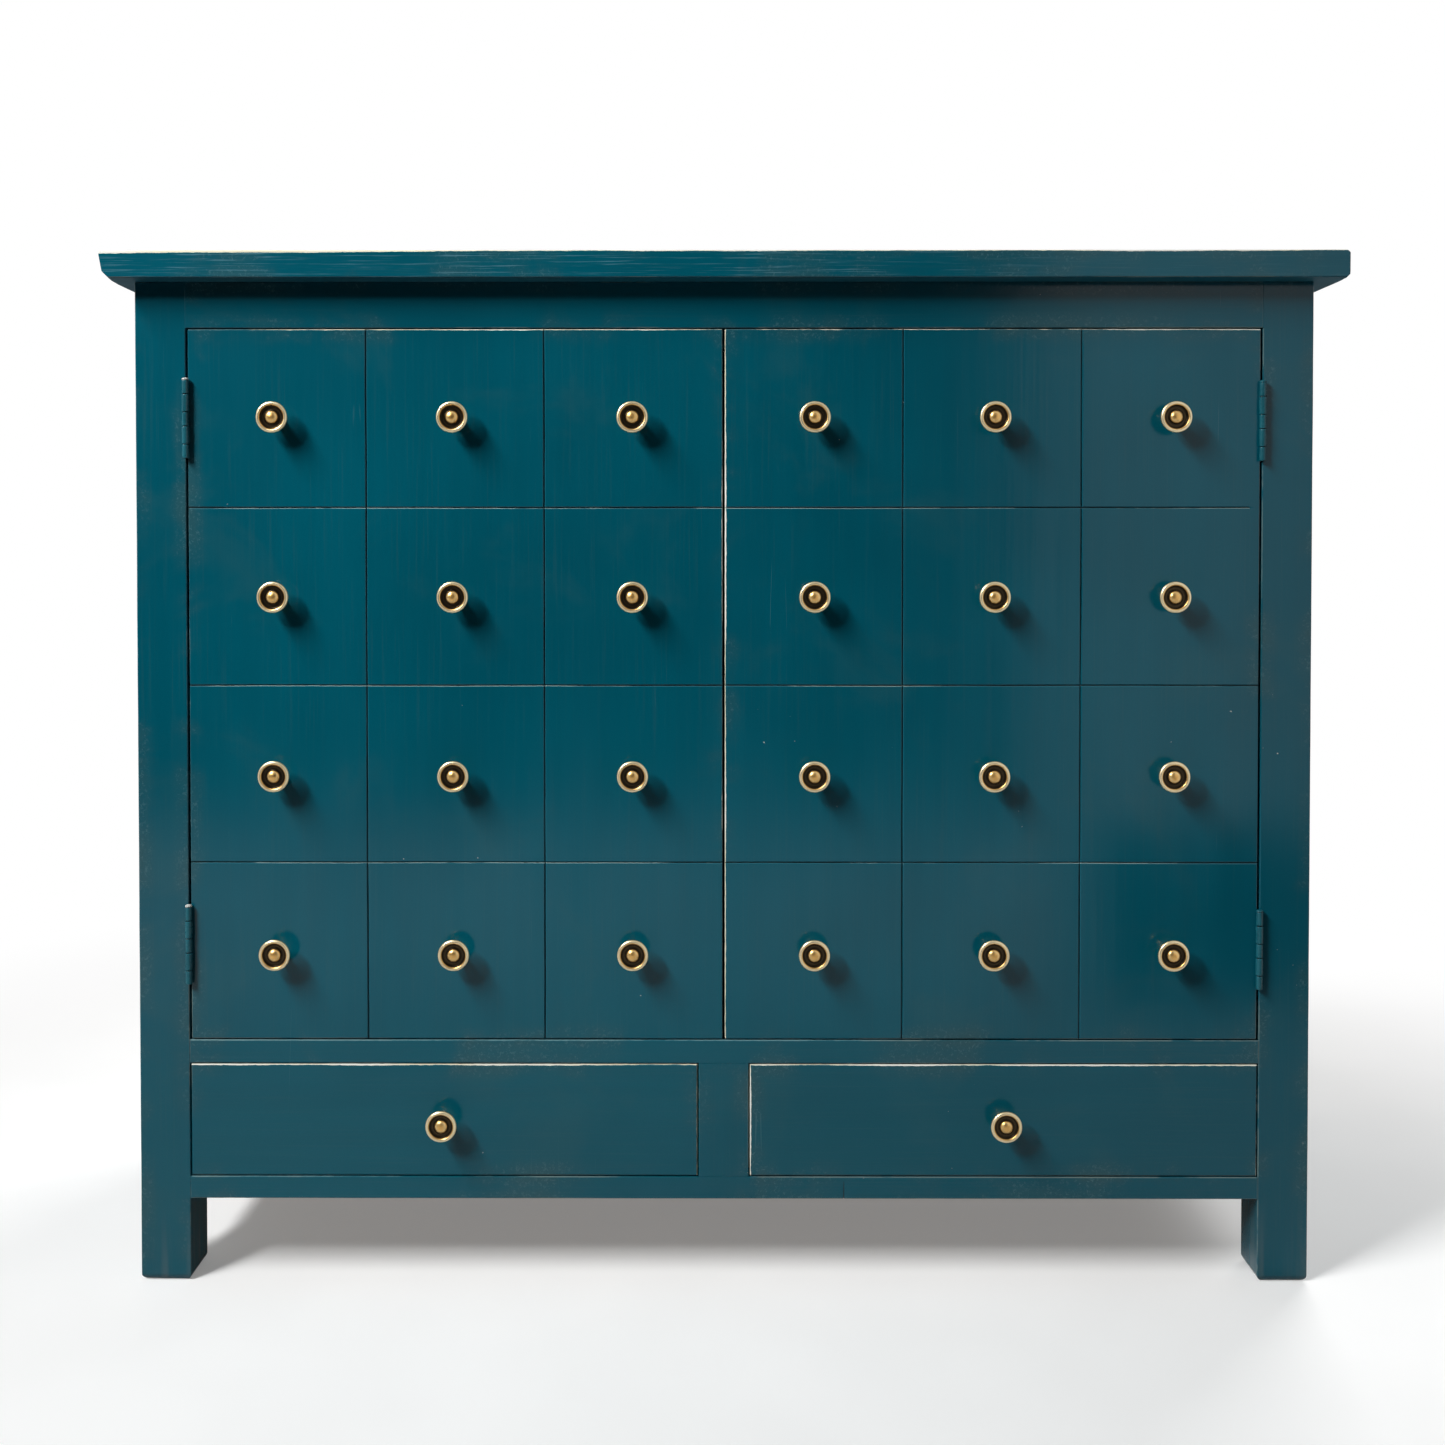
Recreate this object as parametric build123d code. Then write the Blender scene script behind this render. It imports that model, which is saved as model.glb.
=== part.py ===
from build123d import *
import math
import os

os.makedirs("parts", exist_ok=True)

# Apothecary-style cabinet: two hinged doors scored like small drawers, above two real drawers.
# Millimetres. +X is right, +Y is back, +Z is up. The origin is on the floor, under the middle of the top.

# Top board
top_width = 1100.0
top_depth = 400.0
top_thickness = 24.0
top_arris = 1.2
worn_corner_width = 9.0
worn_corner_depth = 40.0
worn_corner_height = 9.0
worn_end_width = 4.4
worn_end_depth = 160.0
side_overhang = 23.5
front_overhang = 23.5
back_overhang = 6.5

# Heights, from the floor up
floor_clearance = 75.0
bottom_rail_height = 20.0
drawer_opening_height = 103.0
middle_rail_height = 21.0
door_opening_height = 640.0
top_rail_height = 41.0

# Frame members
leg_size = 45.0
leg_arris = 0.8
foot_chamfer = 3.0
rail_thickness = 22.0
stile_width = 45.0
side_set_in = 3.0

# Joinery
tenon_thickness = 8.0
tenon_length = 22.0
tenon_shoulder = 6.0
tenon_fit = 0.1
leg_tenon_size = 20.0
leg_tenon_length = 10.0
stile_tenon_length = 8.0
stile_tenon_shoulder = 8.0
groove_depth = 6.0
groove_fit = 0.5
tongue_thickness = 7.0

# Panels and boards
panel_thickness = 8.0
back_board_count = 6
board_tongue_length = 4.0
board_tongue_thickness = 3.0
shelf_thickness = 18.0
shelf_level = 310.0
shelf_gap = 1.0
shelf_set_back = 10.0
cleat_width = 18.0
cleat_height = 25.0

# Doors
door_thickness = 20.0
door_arris = 0.8
door_gap = 1.2
hinge_gap = 2.0
centre_gap = 2.2
faux_columns = 3
faux_rows = 4
score_width = 1.6
score_depth = 1.4
right_score_stop = 8.4
stop_rail_thickness = 18.0
stop_rail_cover = 15.0
stop_rail_height = 41.0

# Catches
catch_width = 46.0
catch_height = 12.0
catch_depth = 15.0
catch_offset = 60.0
strike_width = 40.0
strike_thickness = 1.2

# Hinges
hinge_length = 70.0
barrel_diameter = 6.4
barrel_clearance = 0.3
pin_diameter = 3.2
pin_running_clearance = 0.05
pin_head_height = 2.2
frame_knuckle_length = 12.5
knuckle_gap = 0.2
leaf_thickness = 1.4
leaf_gap = 0.6
leaf_width = 18.0
leaf_screw_inset = 10.0
leaf_screw_spacing = 24.0
leaf_screw_head = 5.6
leaf_screw_shank = 2.8
leaf_screw_tip = 1.0
leaf_screw_length = 15.0
hinge_insets = {
    ("left", "upper"): 80.5,
    ("left", "lower"): 85.0,
    ("right", "upper"): 83.0,
    ("right", "lower"): 81.0,
}

# Knobs
knob_head_diameter = 28.0
knob_rim_inner_diameter = 20.5
knob_boss_diameter = 11.7
knob_foot_diameter = 14.0
knob_neck_diameter = 9.0
knob_foot_height = 2.0
knob_neck_height = 7.0
knob_rim_height = 16.5
knob_rim_top = 18.8
knob_recess_height = 16.0
knob_projection = 20.0
knob_screw_diameter = 4.0
knob_screw_head = 8.0
knob_screw_head_height = 2.4
knob_screw_grip = 8.0

# Drawers
drawer_gap = 1.2
drawer_front_thickness = 20.0
drawer_front_lift = 1.0
drawer_front_arris = 0.8
drawer_side_thickness = 12.0
drawer_side_height = 96.0
drawer_bottom_thickness = 6.0
drawer_bottom_lift = 8.0
drawer_groove_depth = 4.0
housing_depth = 4.0
tail_count = 3
tail_length = 12.0
tail_width = 20.0
tail_slope = 2.0
tail_edge = 8.0
guide_height = 24.0
back_stop_width = 60.0
back_stop_depth = 15.0
back_stop_height = 15.0
out_stop_set_back = 28.0
out_stop_width = 40.0
out_stop_depth = 18.0
out_stop_drop = 12.0

# Small round pieces that repeat are drawn with flat sides, apart from the bores that turn on the pins.
knob_sides = 10
barrel_sides = 12
screw_sides = 6

# Planes and levels that follow from those sizes
front = -top_depth / 2 + front_overhang
back = top_depth / 2 - back_overhang
outer = top_width / 2 - side_overhang
inner = outer - leg_size
middle = (front + back) / 2
front_leg_back = front + leg_size
back_leg_front = back - leg_size

drawer_floor_level = floor_clearance + bottom_rail_height
drawer_ceiling = drawer_floor_level + drawer_opening_height
door_floor_level = drawer_ceiling + middle_rail_height
door_ceiling = door_floor_level + door_opening_height
leg_height = door_ceiling + top_rail_height

bottom_rail = (floor_clearance, drawer_floor_level)
middle_rail = (drawer_ceiling, door_floor_level)
top_rail = (door_ceiling, leg_height)
rails = (bottom_rail, middle_rail, top_rail)
upper_opening = (door_floor_level, door_ceiling)
lower_opening = (drawer_floor_level, drawer_ceiling)

front_rail_back = front + rail_thickness
back_rail_front = back - rail_thickness
side_rail_outer = outer - side_set_in
side_rail_inner = side_rail_outer - rail_thickness
side_centre = (side_rail_outer + side_rail_inner) / 2
side_panel_inner = side_centre - panel_thickness / 2
board_centre = back - rail_thickness / 2
board_face = board_centre - panel_thickness / 2

door_width = inner - hinge_gap - centre_gap / 2
door_low = door_floor_level + door_gap
door_high = door_ceiling - door_gap
door_left = -inner + hinge_gap
door_right = -centre_gap / 2
pin_x = -inner + hinge_gap / 2
pin_y = front - barrel_diameter / 2 - barrel_clearance
leaf_recess = (2 * leaf_thickness + leaf_gap - hinge_gap) / 2

drawer_left = -inner + drawer_gap
drawer_right = -stile_width / 2 - drawer_gap
drawer_centre = (drawer_left + drawer_right) / 2
drawer_back = board_face - back_stop_depth
out_stop_front = front_rail_back + out_stop_set_back
shelf_low = door_floor_level + shelf_level
shelf_front = front + door_thickness + shelf_set_back


def block(x, y, z):
    """A square-edged piece that fills the (low, high) pairs along X, Y and Z."""
    spans = (x, y, z)
    centre = [(low + high) / 2 for low, high in spans]
    return Pos(*centre) * Box(*[high - low for low, high in spans])


def about(centre, width):
    """The (low, high) pair of this width about a centre."""
    return (centre - width / 2, centre + width / 2)


def grown(span, amount):
    """A (low, high) pair made longer by an amount at each end."""
    return (span[0] - amount, span[1] + amount)


def turned(outline, sides):
    """A flat-sided solid about +Z, from the (radius, height) pairs of its outline, foot to crown."""
    rings = []
    for radius, height in outline:
        angles = [2 * math.pi * (index + 0.5) / sides for index in range(sides)]
        rings.append([Vector(radius * math.cos(a), radius * math.sin(a), height) for a in angles])
    faces = [flat_face(rings[0][::-1])]
    for lower, upper in zip(rings, rings[1:]):
        for index in range(sides):
            after = (index + 1) % sides
            corners = [lower[index], lower[after], upper[after], upper[index]]
            faces.append(flat_face(corners[:3] if upper is rings[-1] and outline[-1][0] == 0 else corners))
    if outline[-1][0] > 0:
        faces.append(flat_face(rings[-1]))
    return Solid(Shell(faces))


def flat_face(corners):
    """The flat face inside a ring of corners."""
    return Face(Wire.make_polygon(corners))


def mirrored(shape):
    """The same piece on the right-hand side."""
    return mirror(shape, about=Plane.YZ)


def sided(shape, side):
    """A left-hand piece, or its mirror image when side is right."""
    return shape if side == "left" else mirrored(shape)


def save(name, *shapes):
    """Write one sub-part, with every solid of the shapes given."""
    solids = [solid for shape in shapes for solid in shape.solids()]
    export_step(Compound(solids), f"parts/{name}.step")


# Top board


def top_board():
    """The overhanging top, with a mortise over each leg and one corner worn off below."""
    board = block(about(0, top_width), about(0, top_depth), (leg_height, leg_height + top_thickness))
    board = chamfer(board.edges(), top_arris)
    board -= worn_away(worn_corner_width, worn_corner_depth, worn_corner_height)
    board -= worn_away(worn_end_width, worn_end_depth, top_thickness)
    for x in (-outer + leg_size / 2, outer - leg_size / 2):
        for y in (front + leg_size / 2, back - leg_size / 2):
            board -= leg_tenon(x, y, tenon_fit)
    return board


def worn_away(width, depth, height):
    """Wood that is worn off the top's front left corner, most of all along its underside."""
    corner = Vector(-top_width / 2, -top_depth / 2, leg_height)
    across = corner + Vector(width, 0, 0)
    along = corner + Vector(0, depth, 0)
    up = corner + Vector(0, 0, height)
    sides = ((corner, along, across), (corner, across, up), (corner, up, along), (across, along, up))
    return Solid(Shell([flat_face(side) for side in sides]))


def leg_tenon(x, y, fit=0.0):
    """The stub tenon on top of a leg, made larger by the fit for its mortise."""
    size = leg_tenon_size + 2 * fit
    return block(about(x, size), about(y, size), (leg_height, leg_height + leg_tenon_length + fit))


# Frame: joints first, then the members that they join


def front_tenon(rail, fit=0.0):
    """The tenon at the left end of a front rail, made larger by the fit for its mortise."""
    height = (rail[0] + tenon_shoulder, rail[1] - tenon_shoulder)
    length = (-inner - tenon_length - fit, -inner)
    thickness = about(front + rail_thickness / 2, tenon_thickness)
    return block(length, grown(thickness, fit), grown(height, fit))


def side_tenon(rail, fit=0.0):
    """The tenon at the front end of a left side rail, made larger by the fit for its mortise."""
    height = (rail[0] + tenon_shoulder, rail[1] - tenon_shoulder)
    length = (front_leg_back - tenon_length - fit, front_leg_back)
    thickness = about(-side_centre, tenon_thickness)
    return block(grown(thickness, fit), length, grown(height, fit))


def swapped(shape):
    """The same piece at the other end of the carcass, front for back."""
    return mirror(shape, about=Plane(origin=(0, middle, 0), z_dir=(0, 1, 0)))


def plain_leg():
    """The front left leg, with the mortises and grooves that all four legs have."""
    leg = block((-outer, -inner), (front, front_leg_back), (0, leg_height))
    leg = chamfer(leg.faces().sort_by(Axis.Z)[0].edges(), foot_chamfer)
    uprights = leg.edges().filter_by(Axis.Z)
    leg = chamfer(uprights.group_by(Axis.X)[0], leg_arris)
    for rail in rails:
        leg -= front_tenon(rail, tenon_fit)
        leg -= side_tenon(rail, tenon_fit)
    for opening in (upper_opening, lower_opening):
        depth = (front_leg_back - groove_depth, front_leg_back)
        leg -= block(about(-side_centre, panel_thickness), depth, grown(opening, groove_depth))
    return leg + leg_tenon(-outer + leg_size / 2, front + leg_size / 2)


def front_leg(side):
    """A front leg, with the recesses and screw holes of its two hinge leaves."""
    leg = plain_leg()
    for level in hinge_levels(side):
        leg -= frame_leaf_recess(level)
        leg -= frame_leaf_screws(level)
    return sided(leg, side)


def back_leg(side):
    """A back leg, with a groove for the back boards."""
    leg = swapped(plain_leg())
    for opening in (upper_opening, lower_opening):
        depth = (-inner - groove_depth, -inner)
        leg -= block(depth, about(board_centre, panel_thickness), grown(opening, groove_depth))
    return sided(leg, side)


def front_rail(rail):
    """A rail between the front legs, with a tenon at each end."""
    body = block((-inner, inner), (front, front_rail_back), rail)
    return body + front_tenon(rail) + mirrored(front_tenon(rail))


def floor_groove(rail):
    """The groove behind a front rail that holds the tongue of a floor board."""
    thickness = about((rail[0] + rail[1]) / 2, tongue_thickness)
    return block((-inner, inner), (front_rail_back - groove_depth, front_rail_back), thickness)


def stile_tenon(low, high):
    """A stub tenon of the centre stile, from one level to another."""
    width = about(0, stile_width - 2 * stile_tenon_shoulder)
    return block(width, about(front + rail_thickness / 2, tenon_thickness), (low, high))


def lower_stile_tenon(fit=0.0):
    """The stub tenon that stands in the bottom rail."""
    return stile_tenon(drawer_floor_level - stile_tenon_length - fit, drawer_floor_level)


def upper_stile_tenon(fit=0.0):
    """The stub tenon that enters the middle rail."""
    return stile_tenon(drawer_ceiling, drawer_ceiling + stile_tenon_length + fit)


def centre_stile():
    """The upright between the two drawers."""
    body = block(about(0, stile_width), (front, front_rail_back), lower_opening)
    return body + lower_stile_tenon() + upper_stile_tenon()


def board_groove(rail, edges):
    """Grooves for the back boards, 1 for the top edge of a rail and -1 for its bottom edge."""
    grooves = []
    for edge in edges:
        level = rail[1] if edge > 0 else rail[0]
        depth = (level - groove_depth, level) if edge > 0 else (level, level + groove_depth)
        grooves.append(block((-inner, inner), about(board_centre, panel_thickness), depth))
    return grooves


def back_rail(rail, edges):
    """A rail between the back legs, grooved along the edges that meet back boards."""
    body = swapped(front_rail(rail))
    for groove in board_groove(rail, edges):
        body -= groove
    return body


def side_rail(rail, edges):
    """A left side rail, grooved along the edges that meet side panels."""
    run = (front_leg_back, back_leg_front)
    body = block((-side_rail_outer, -side_rail_inner), run, rail)
    body = body + side_tenon(rail) + swapped(side_tenon(rail))
    for edge in edges:
        level = rail[1] if edge > 0 else rail[0]
        depth = (level - groove_depth, level) if edge > 0 else (level, level + groove_depth)
        body -= block(about(-side_centre, panel_thickness), run, depth)
    return body


def side_floor_groove(rail):
    """The groove inside a left side rail that holds the tongue of a floor board."""
    thickness = about((rail[0] + rail[1]) / 2, tongue_thickness)
    return block((-side_rail_inner - groove_depth, -side_rail_inner), (front_leg_back, back_leg_front), thickness)


def side_rails():
    """The top, middle and bottom rails of the left side."""
    top = side_rail(top_rail, (-1,))
    middle_one = side_rail(middle_rail, (1, -1)) - side_floor_groove(middle_rail)
    bottom = side_rail(bottom_rail, (1,)) - side_floor_groove(bottom_rail)
    return (top, middle_one, bottom)


def side_panel(opening):
    """A left side panel, standing in the groove of the rail below it."""
    run = grown((front_leg_back, back_leg_front), groove_depth - groove_fit)
    height = (opening[0] - groove_depth, opening[1] + groove_depth - groove_fit)
    return block(about(-side_centre, panel_thickness), run, height)


def back_boards(opening):
    """Upright tongued boards that close the back of one opening."""
    half = inner + groove_depth - groove_fit
    pitch = 2 * half / back_board_count
    height = (opening[0] - groove_depth, opening[1] + groove_depth - groove_fit)
    boards = []
    for index in range(back_board_count):
        left = -half + index * pitch
        board = block((left, left + pitch), about(board_centre, panel_thickness), height)
        if index > 0:
            slot = (left, left + board_tongue_length + tenon_fit)
            board -= block(slot, about(board_centre, board_tongue_thickness), height)
        if index < back_board_count - 1:
            tongue = (left + pitch, left + pitch + board_tongue_length)
            board += block(tongue, about(board_centre, board_tongue_thickness), height)
        boards.append(board)
    return boards


def floor_board(rail):
    """A floor as thick as the rails round it, notched for the legs and tongued on four sides."""
    across = (-side_rail_inner, side_rail_inner)
    between_legs = (front_leg_back, back_leg_front)
    board = block(across, between_legs, rail)
    board += block((-inner, inner), (front_rail_back, back_rail_front), rail)
    tongue = about((rail[0] + rail[1]) / 2, tongue_thickness)
    reach = groove_depth - groove_fit
    board += block(grown(across, reach), between_legs, tongue)
    board += block((-inner, inner), grown((front_rail_back, back_rail_front), reach), tongue)
    return board


def shelf():
    """The loose shelf, resting on its cleats."""
    width = (-inner + shelf_gap, inner - shelf_gap)
    return block(width, (shelf_front, board_face - shelf_gap), (shelf_low, shelf_low + shelf_thickness))


def shelf_cleat():
    """The left cleat, fixed to the inner faces of both left legs."""
    height = (shelf_low - cleat_height, shelf_low)
    return block((-inner, -inner + cleat_width), (shelf_front + shelf_set_back, board_face), height)


def door_stop_rail():
    """The rail that both doors close against, behind the top rail and a little below it."""
    width = (-inner, inner)
    depth = front_rail_back + stop_rail_thickness
    low = door_ceiling - stop_rail_cover
    rail = block(width, (front_rail_back, depth), (low, low + stop_rail_height))
    return rail + block(width, (front + door_thickness, depth), (low, door_ceiling))


def door_catch():
    """The magnetic catch of the left door, under the stop rail."""
    high = door_ceiling - stop_rail_cover
    face = front + door_thickness + strike_thickness
    return block(about(-catch_offset, catch_width), (face, face + catch_depth), (high - catch_height, high))


def drawer_guides():
    """Guides on the drawer floor: one beside each side of the carcass and one in the middle."""
    height = (drawer_floor_level, drawer_floor_level + guide_height)
    run = (front_leg_back, back_leg_front)
    left = block((-side_panel_inner, -inner), run, height)
    centre = block(about(0, stile_width), (front_rail_back, board_face), height)
    return (left, centre, mirrored(left))


def drawer_stops():
    """For the left drawer, a stop behind it and one that keeps it from being pulled right out."""
    rest = block(
        about(drawer_centre, back_stop_width),
        (drawer_back, board_face),
        (drawer_floor_level, drawer_floor_level + back_stop_height),
    )
    out = block(
        about(drawer_centre, out_stop_width),
        (out_stop_front, out_stop_front + out_stop_depth),
        (drawer_ceiling - out_stop_drop, drawer_ceiling),
    )
    return (rest, out)


# Hinges: knuckled butts. Each is drawn for the left door about its pin, then set at its level.


def hinge_levels(side):
    """The heights of the middles of the upper and lower hinges of one door."""
    return (door_high - hinge_insets[side, "upper"], door_low + hinge_insets[side, "lower"])


def at_pin(shape, level):
    """Move a piece drawn about a pin to the pin's place on the left of the cabinet."""
    return Pos(pin_x, pin_y, level) * shape


def knuckle_spans():
    """The spans of the five knuckles: first, third and fifth on the frame leaf, the others on the door."""
    door_knuckle = (hinge_length - 3 * frame_knuckle_length - 4 * knuckle_gap) / 2
    spans = []
    low = -hinge_length / 2
    for index in range(5):
        length = frame_knuckle_length if index % 2 == 0 else door_knuckle
        spans.append((low, low + length))
        low += length + knuckle_gap
    return spans


def hinge_leaf(spans):
    """A leaf on the +X side of the pin, rolled into solid knuckles at the given spans."""
    face = barrel_diameter / 2 + barrel_clearance
    sheet = (leaf_gap / 2, leaf_gap / 2 + leaf_thickness)
    leaf = block(sheet, (face, face + leaf_width), about(0, hinge_length))
    for low, high in spans:
        leaf += block(sheet, (0, face), (low, high))
        leaf += Pos(0, 0, low) * extrude(RegularPolygon(barrel_diameter / 2, barrel_sides), high - low)
    for screw in leaf_screws():
        leaf -= screw
    return leaf


def leaf_screws():
    """Three countersunk screws in a leaf on the +X side, heads flush with its inner face."""
    face = barrel_diameter / 2 + barrel_clearance
    outline = (
        (leaf_screw_head / 2, 0),
        (leaf_screw_shank / 2, leaf_thickness),
        (leaf_screw_tip / 2, leaf_screw_length),
    )
    screw = Rot(0, 90, 0) * turned(outline, screw_sides)
    heights = (-leaf_screw_spacing, 0, leaf_screw_spacing)
    return [Pos(leaf_gap / 2, face + leaf_screw_inset, z) * screw for z in heights]


def door_leaf(level):
    """The leaf on the door, at one hinge of the left door, which turns on the pin."""
    bore = extrude(Circle(pin_diameter / 2 + pin_running_clearance), hinge_length / 2, both=True)
    return at_pin(hinge_leaf(knuckle_spans()[1::2]) - bore, level)


def frame_leaf(level):
    """The leaf on the leg, at one hinge of the left door, whose knuckles grip the pin."""
    leaf = mirrored(hinge_leaf(knuckle_spans()[0::2]))
    return at_pin(leaf, level) - hinge_pin(level)


def door_leaf_screws(level):
    """The screws of a door leaf, in place."""
    return [at_pin(screw, level) for screw in leaf_screws()]


def frame_leaf_screws(level):
    """The screws of a frame leaf, in place."""
    return [at_pin(mirrored(screw), level) for screw in leaf_screws()]


def frame_leaf_recess(level):
    """The wood cut away from the left leg for a leaf."""
    depth = (-inner - leaf_recess, -inner)
    return block(depth, (front, front + leaf_width), about(level, hinge_length))


def door_leaf_recess(level):
    """The wood cut away from the left door's edge for a leaf."""
    depth = (door_left, door_left + leaf_recess)
    return block(depth, (front, front + leaf_width), about(level, hinge_length))


def hinge_pin(level):
    """A pin with a domed head that sits on the top knuckle."""
    radius = pin_diameter / 2
    head = barrel_diameter / 2
    outline = (
        (radius, -hinge_length / 2),
        (radius, hinge_length / 2),
        (head, hinge_length / 2),
        (head * 0.8, hinge_length / 2 + pin_head_height * 0.7),
        (head * 0.4, hinge_length / 2 + pin_head_height),
    )
    return at_pin(turned(outline, barrel_sides), level)


# Doors


def score(length):
    """A V-shaped score line along +X, cut into a face at Y = 0."""
    section = Polyline((0, -score_width / 2), (score_depth, 0), (0, score_width / 2), close=True)
    return extrude(Plane.YZ * make_face(section), length)


def knob_places():
    """The centres of the left door's knobs, one in the middle of each faux drawer."""
    pitch_x = door_width / faux_columns
    pitch_z = (door_high - door_low) / faux_rows
    return [
        (door_left + (column + 0.5) * pitch_x, door_low + (row + 0.5) * pitch_z)
        for row in range(faux_rows)
        for column in range(faux_columns)
    ]


def door_panel(side):
    """A door: a flat slab scored into faux drawers, with its hinge recesses and screw holes."""
    panel = block((door_left, door_right), (front, front + door_thickness), (door_low, door_high))
    panel = chamfer(panel.faces().sort_by(Axis.Y)[0].edges(), door_arris)
    for row in range(1, faux_rows):
        level = door_low + row * (door_high - door_low) / faux_rows
        stopped = side == "right" and row == faux_rows - 1
        start = door_left + right_score_stop if stopped else door_left
        panel -= Pos(start, front, level) * score(door_right - start)
    for column in range(1, faux_columns):
        x = door_left + column * door_width / faux_columns
        panel -= Pos(x, front, door_low) * (Rot(0, -90, 0) * score(door_high - door_low))
    for x, z in knob_places():
        panel -= knob_screw(x, z, door_thickness)
    for level in hinge_levels(side):
        panel -= door_leaf_recess(level)
        for screw in door_leaf_screws(level):
            panel -= screw
    return sided(panel, side)


def strike_plate():
    """The steel plate on the back of the left door that its catch holds."""
    high = door_ceiling - stop_rail_cover
    face = front + door_thickness
    return block(about(-catch_offset, strike_width), (face, face + strike_thickness), (high - catch_height, high))


# Knobs


def knob(x, z, thickness):
    """A turned brass knob on a front of this thickness: foot, neck, and a dished head with a boss."""
    head = knob_head_diameter / 2
    rim = knob_rim_inner_diameter / 2
    outline = (
        (knob_foot_diameter / 2, 0),
        (knob_foot_diameter / 2, knob_foot_height),
        (knob_neck_diameter / 2, knob_neck_height),
        (head, knob_rim_height),
        ((head + rim) / 2, knob_rim_top),
        (rim, knob_recess_height),
        (knob_boss_diameter / 2, knob_recess_height),
        (0, knob_projection),
    )
    return Pos(x, front, z) * (Rot(90, 0, 0) * turned(outline, knob_sides)) - knob_screw(x, z, thickness)


def knob_screw(x, z, thickness):
    """The screw through a front of this thickness into the back of a knob."""
    shank = extrude(RegularPolygon(knob_screw_diameter / 2, screw_sides), thickness + knob_screw_grip)
    head = extrude(RegularPolygon(knob_screw_head / 2, screw_sides), -knob_screw_head_height)
    return Pos(x, front + thickness, z) * (Rot(90, 0, 0) * (shank + head))


# Drawers: drawn for the left one


def tails(end, fit=0.0):
    """The dovetails of a drawer side, in a row up its front end; end is the side's outer face."""
    low = drawer_floor_level + tail_edge
    room = drawer_side_height - 2 * tail_edge - tail_count * tail_width
    pitch = tail_width + room / (tail_count - 1)
    root = front + drawer_front_thickness
    shapes = []
    for index in range(tail_count):
        base = (low + index * pitch, low + index * pitch + tail_width)
        outline = Polyline(
            (root, base[0] + tail_slope - fit),
            (root, base[1] - tail_slope + fit),
            (root - tail_length - fit, base[1] + fit),
            (root - tail_length - fit, base[0] - fit),
            close=True,
        )
        tail = extrude(Plane.YZ * make_face(outline), drawer_side_thickness)
        shapes.append(Pos(end, 0, 0) * tail)
    return shapes


def drawer_front():
    """The drawer's front, with sockets for the tails and a groove for the bottom."""
    height = (drawer_floor_level + drawer_front_lift, drawer_ceiling - drawer_front_lift)
    board = block((drawer_left, drawer_right), (front, front + drawer_front_thickness), height)
    board = chamfer(board.faces().sort_by(Axis.Y)[0].edges(), drawer_front_arris)
    for socket in tails(drawer_left) + tails(drawer_right - drawer_side_thickness):
        board -= socket
    board -= drawer_bottom()
    return board - knob_screw(drawer_centre, drawer_knob_level(), drawer_front_thickness)


def drawer_knob_level():
    """The height of a drawer's knob."""
    return (drawer_floor_level + drawer_ceiling) / 2


def drawer_side(low, inner_face):
    """A drawer side, from its lower X, with a groove and a housing in its inner face."""
    span = (low, low + drawer_side_thickness)
    height = (drawer_floor_level, drawer_floor_level + drawer_side_height)
    side = block(span, (front + drawer_front_thickness, drawer_back), height)
    for tail in tails(low):
        side += tail
    side -= drawer_bottom()
    housing = about(inner_face, 2 * housing_depth)
    bottom_top = drawer_floor_level + drawer_bottom_lift + drawer_bottom_thickness
    side -= block(housing, (drawer_back - drawer_side_thickness, drawer_back), (bottom_top, height[1]))
    return side


def drawer_back_board():
    """The drawer's back, above its bottom, housed in both sides."""
    reach = drawer_side_thickness - housing_depth
    low = drawer_floor_level + drawer_bottom_lift + drawer_bottom_thickness
    return block(
        (drawer_left + reach, drawer_right - reach),
        (drawer_back - drawer_side_thickness, drawer_back),
        (low, drawer_floor_level + drawer_side_height),
    )


def drawer_bottom():
    """The drawer's bottom, in the grooves of the front and sides and under the back."""
    reach = drawer_side_thickness - drawer_groove_depth
    low = drawer_floor_level + drawer_bottom_lift
    return block(
        (drawer_left + reach, drawer_right - reach),
        (front + drawer_front_thickness - drawer_groove_depth, drawer_back),
        (low, low + drawer_bottom_thickness),
    )


# Write every sub-part

save("top_board", top_board())
for side in ("left", "right"):
    save(f"front_{side}_leg", front_leg(side))
    save(f"back_{side}_leg", back_leg(side))
    save(f"{side}_side_rails", *[sided(rail, side) for rail in side_rails()])
    save(f"{side}_side_panels", *[sided(side_panel(o), side) for o in (upper_opening, lower_opening)])

save("front_top_rail", front_rail(top_rail))
save("front_middle_rail", front_rail(middle_rail) - floor_groove(middle_rail) - upper_stile_tenon(tenon_fit))
save("front_bottom_rail", front_rail(bottom_rail) - floor_groove(bottom_rail) - lower_stile_tenon(tenon_fit))
save("front_center_stile", centre_stile())
save("back_top_rail", back_rail(top_rail, (-1,)))
save("back_middle_rail", back_rail(middle_rail, (1, -1)) - swapped(floor_groove(middle_rail)))
save("back_bottom_rail", back_rail(bottom_rail, (1,)) - swapped(floor_groove(bottom_rail)))
save("back_boards_upper", *back_boards(upper_opening))
save("back_boards_lower", *back_boards(lower_opening))
save("cabinet_floor", floor_board(middle_rail))
save("drawer_floor", floor_board(bottom_rail))
save("shelf", shelf())
save("shelf_cleats", shelf_cleat(), mirrored(shelf_cleat()))
save("drawer_guides", *drawer_guides())
save("drawer_stops", *drawer_stops(), *[mirrored(stop) for stop in drawer_stops()])
save("door_stop_rail", door_stop_rail())
save("door_catches", door_catch(), mirrored(door_catch()))

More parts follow.
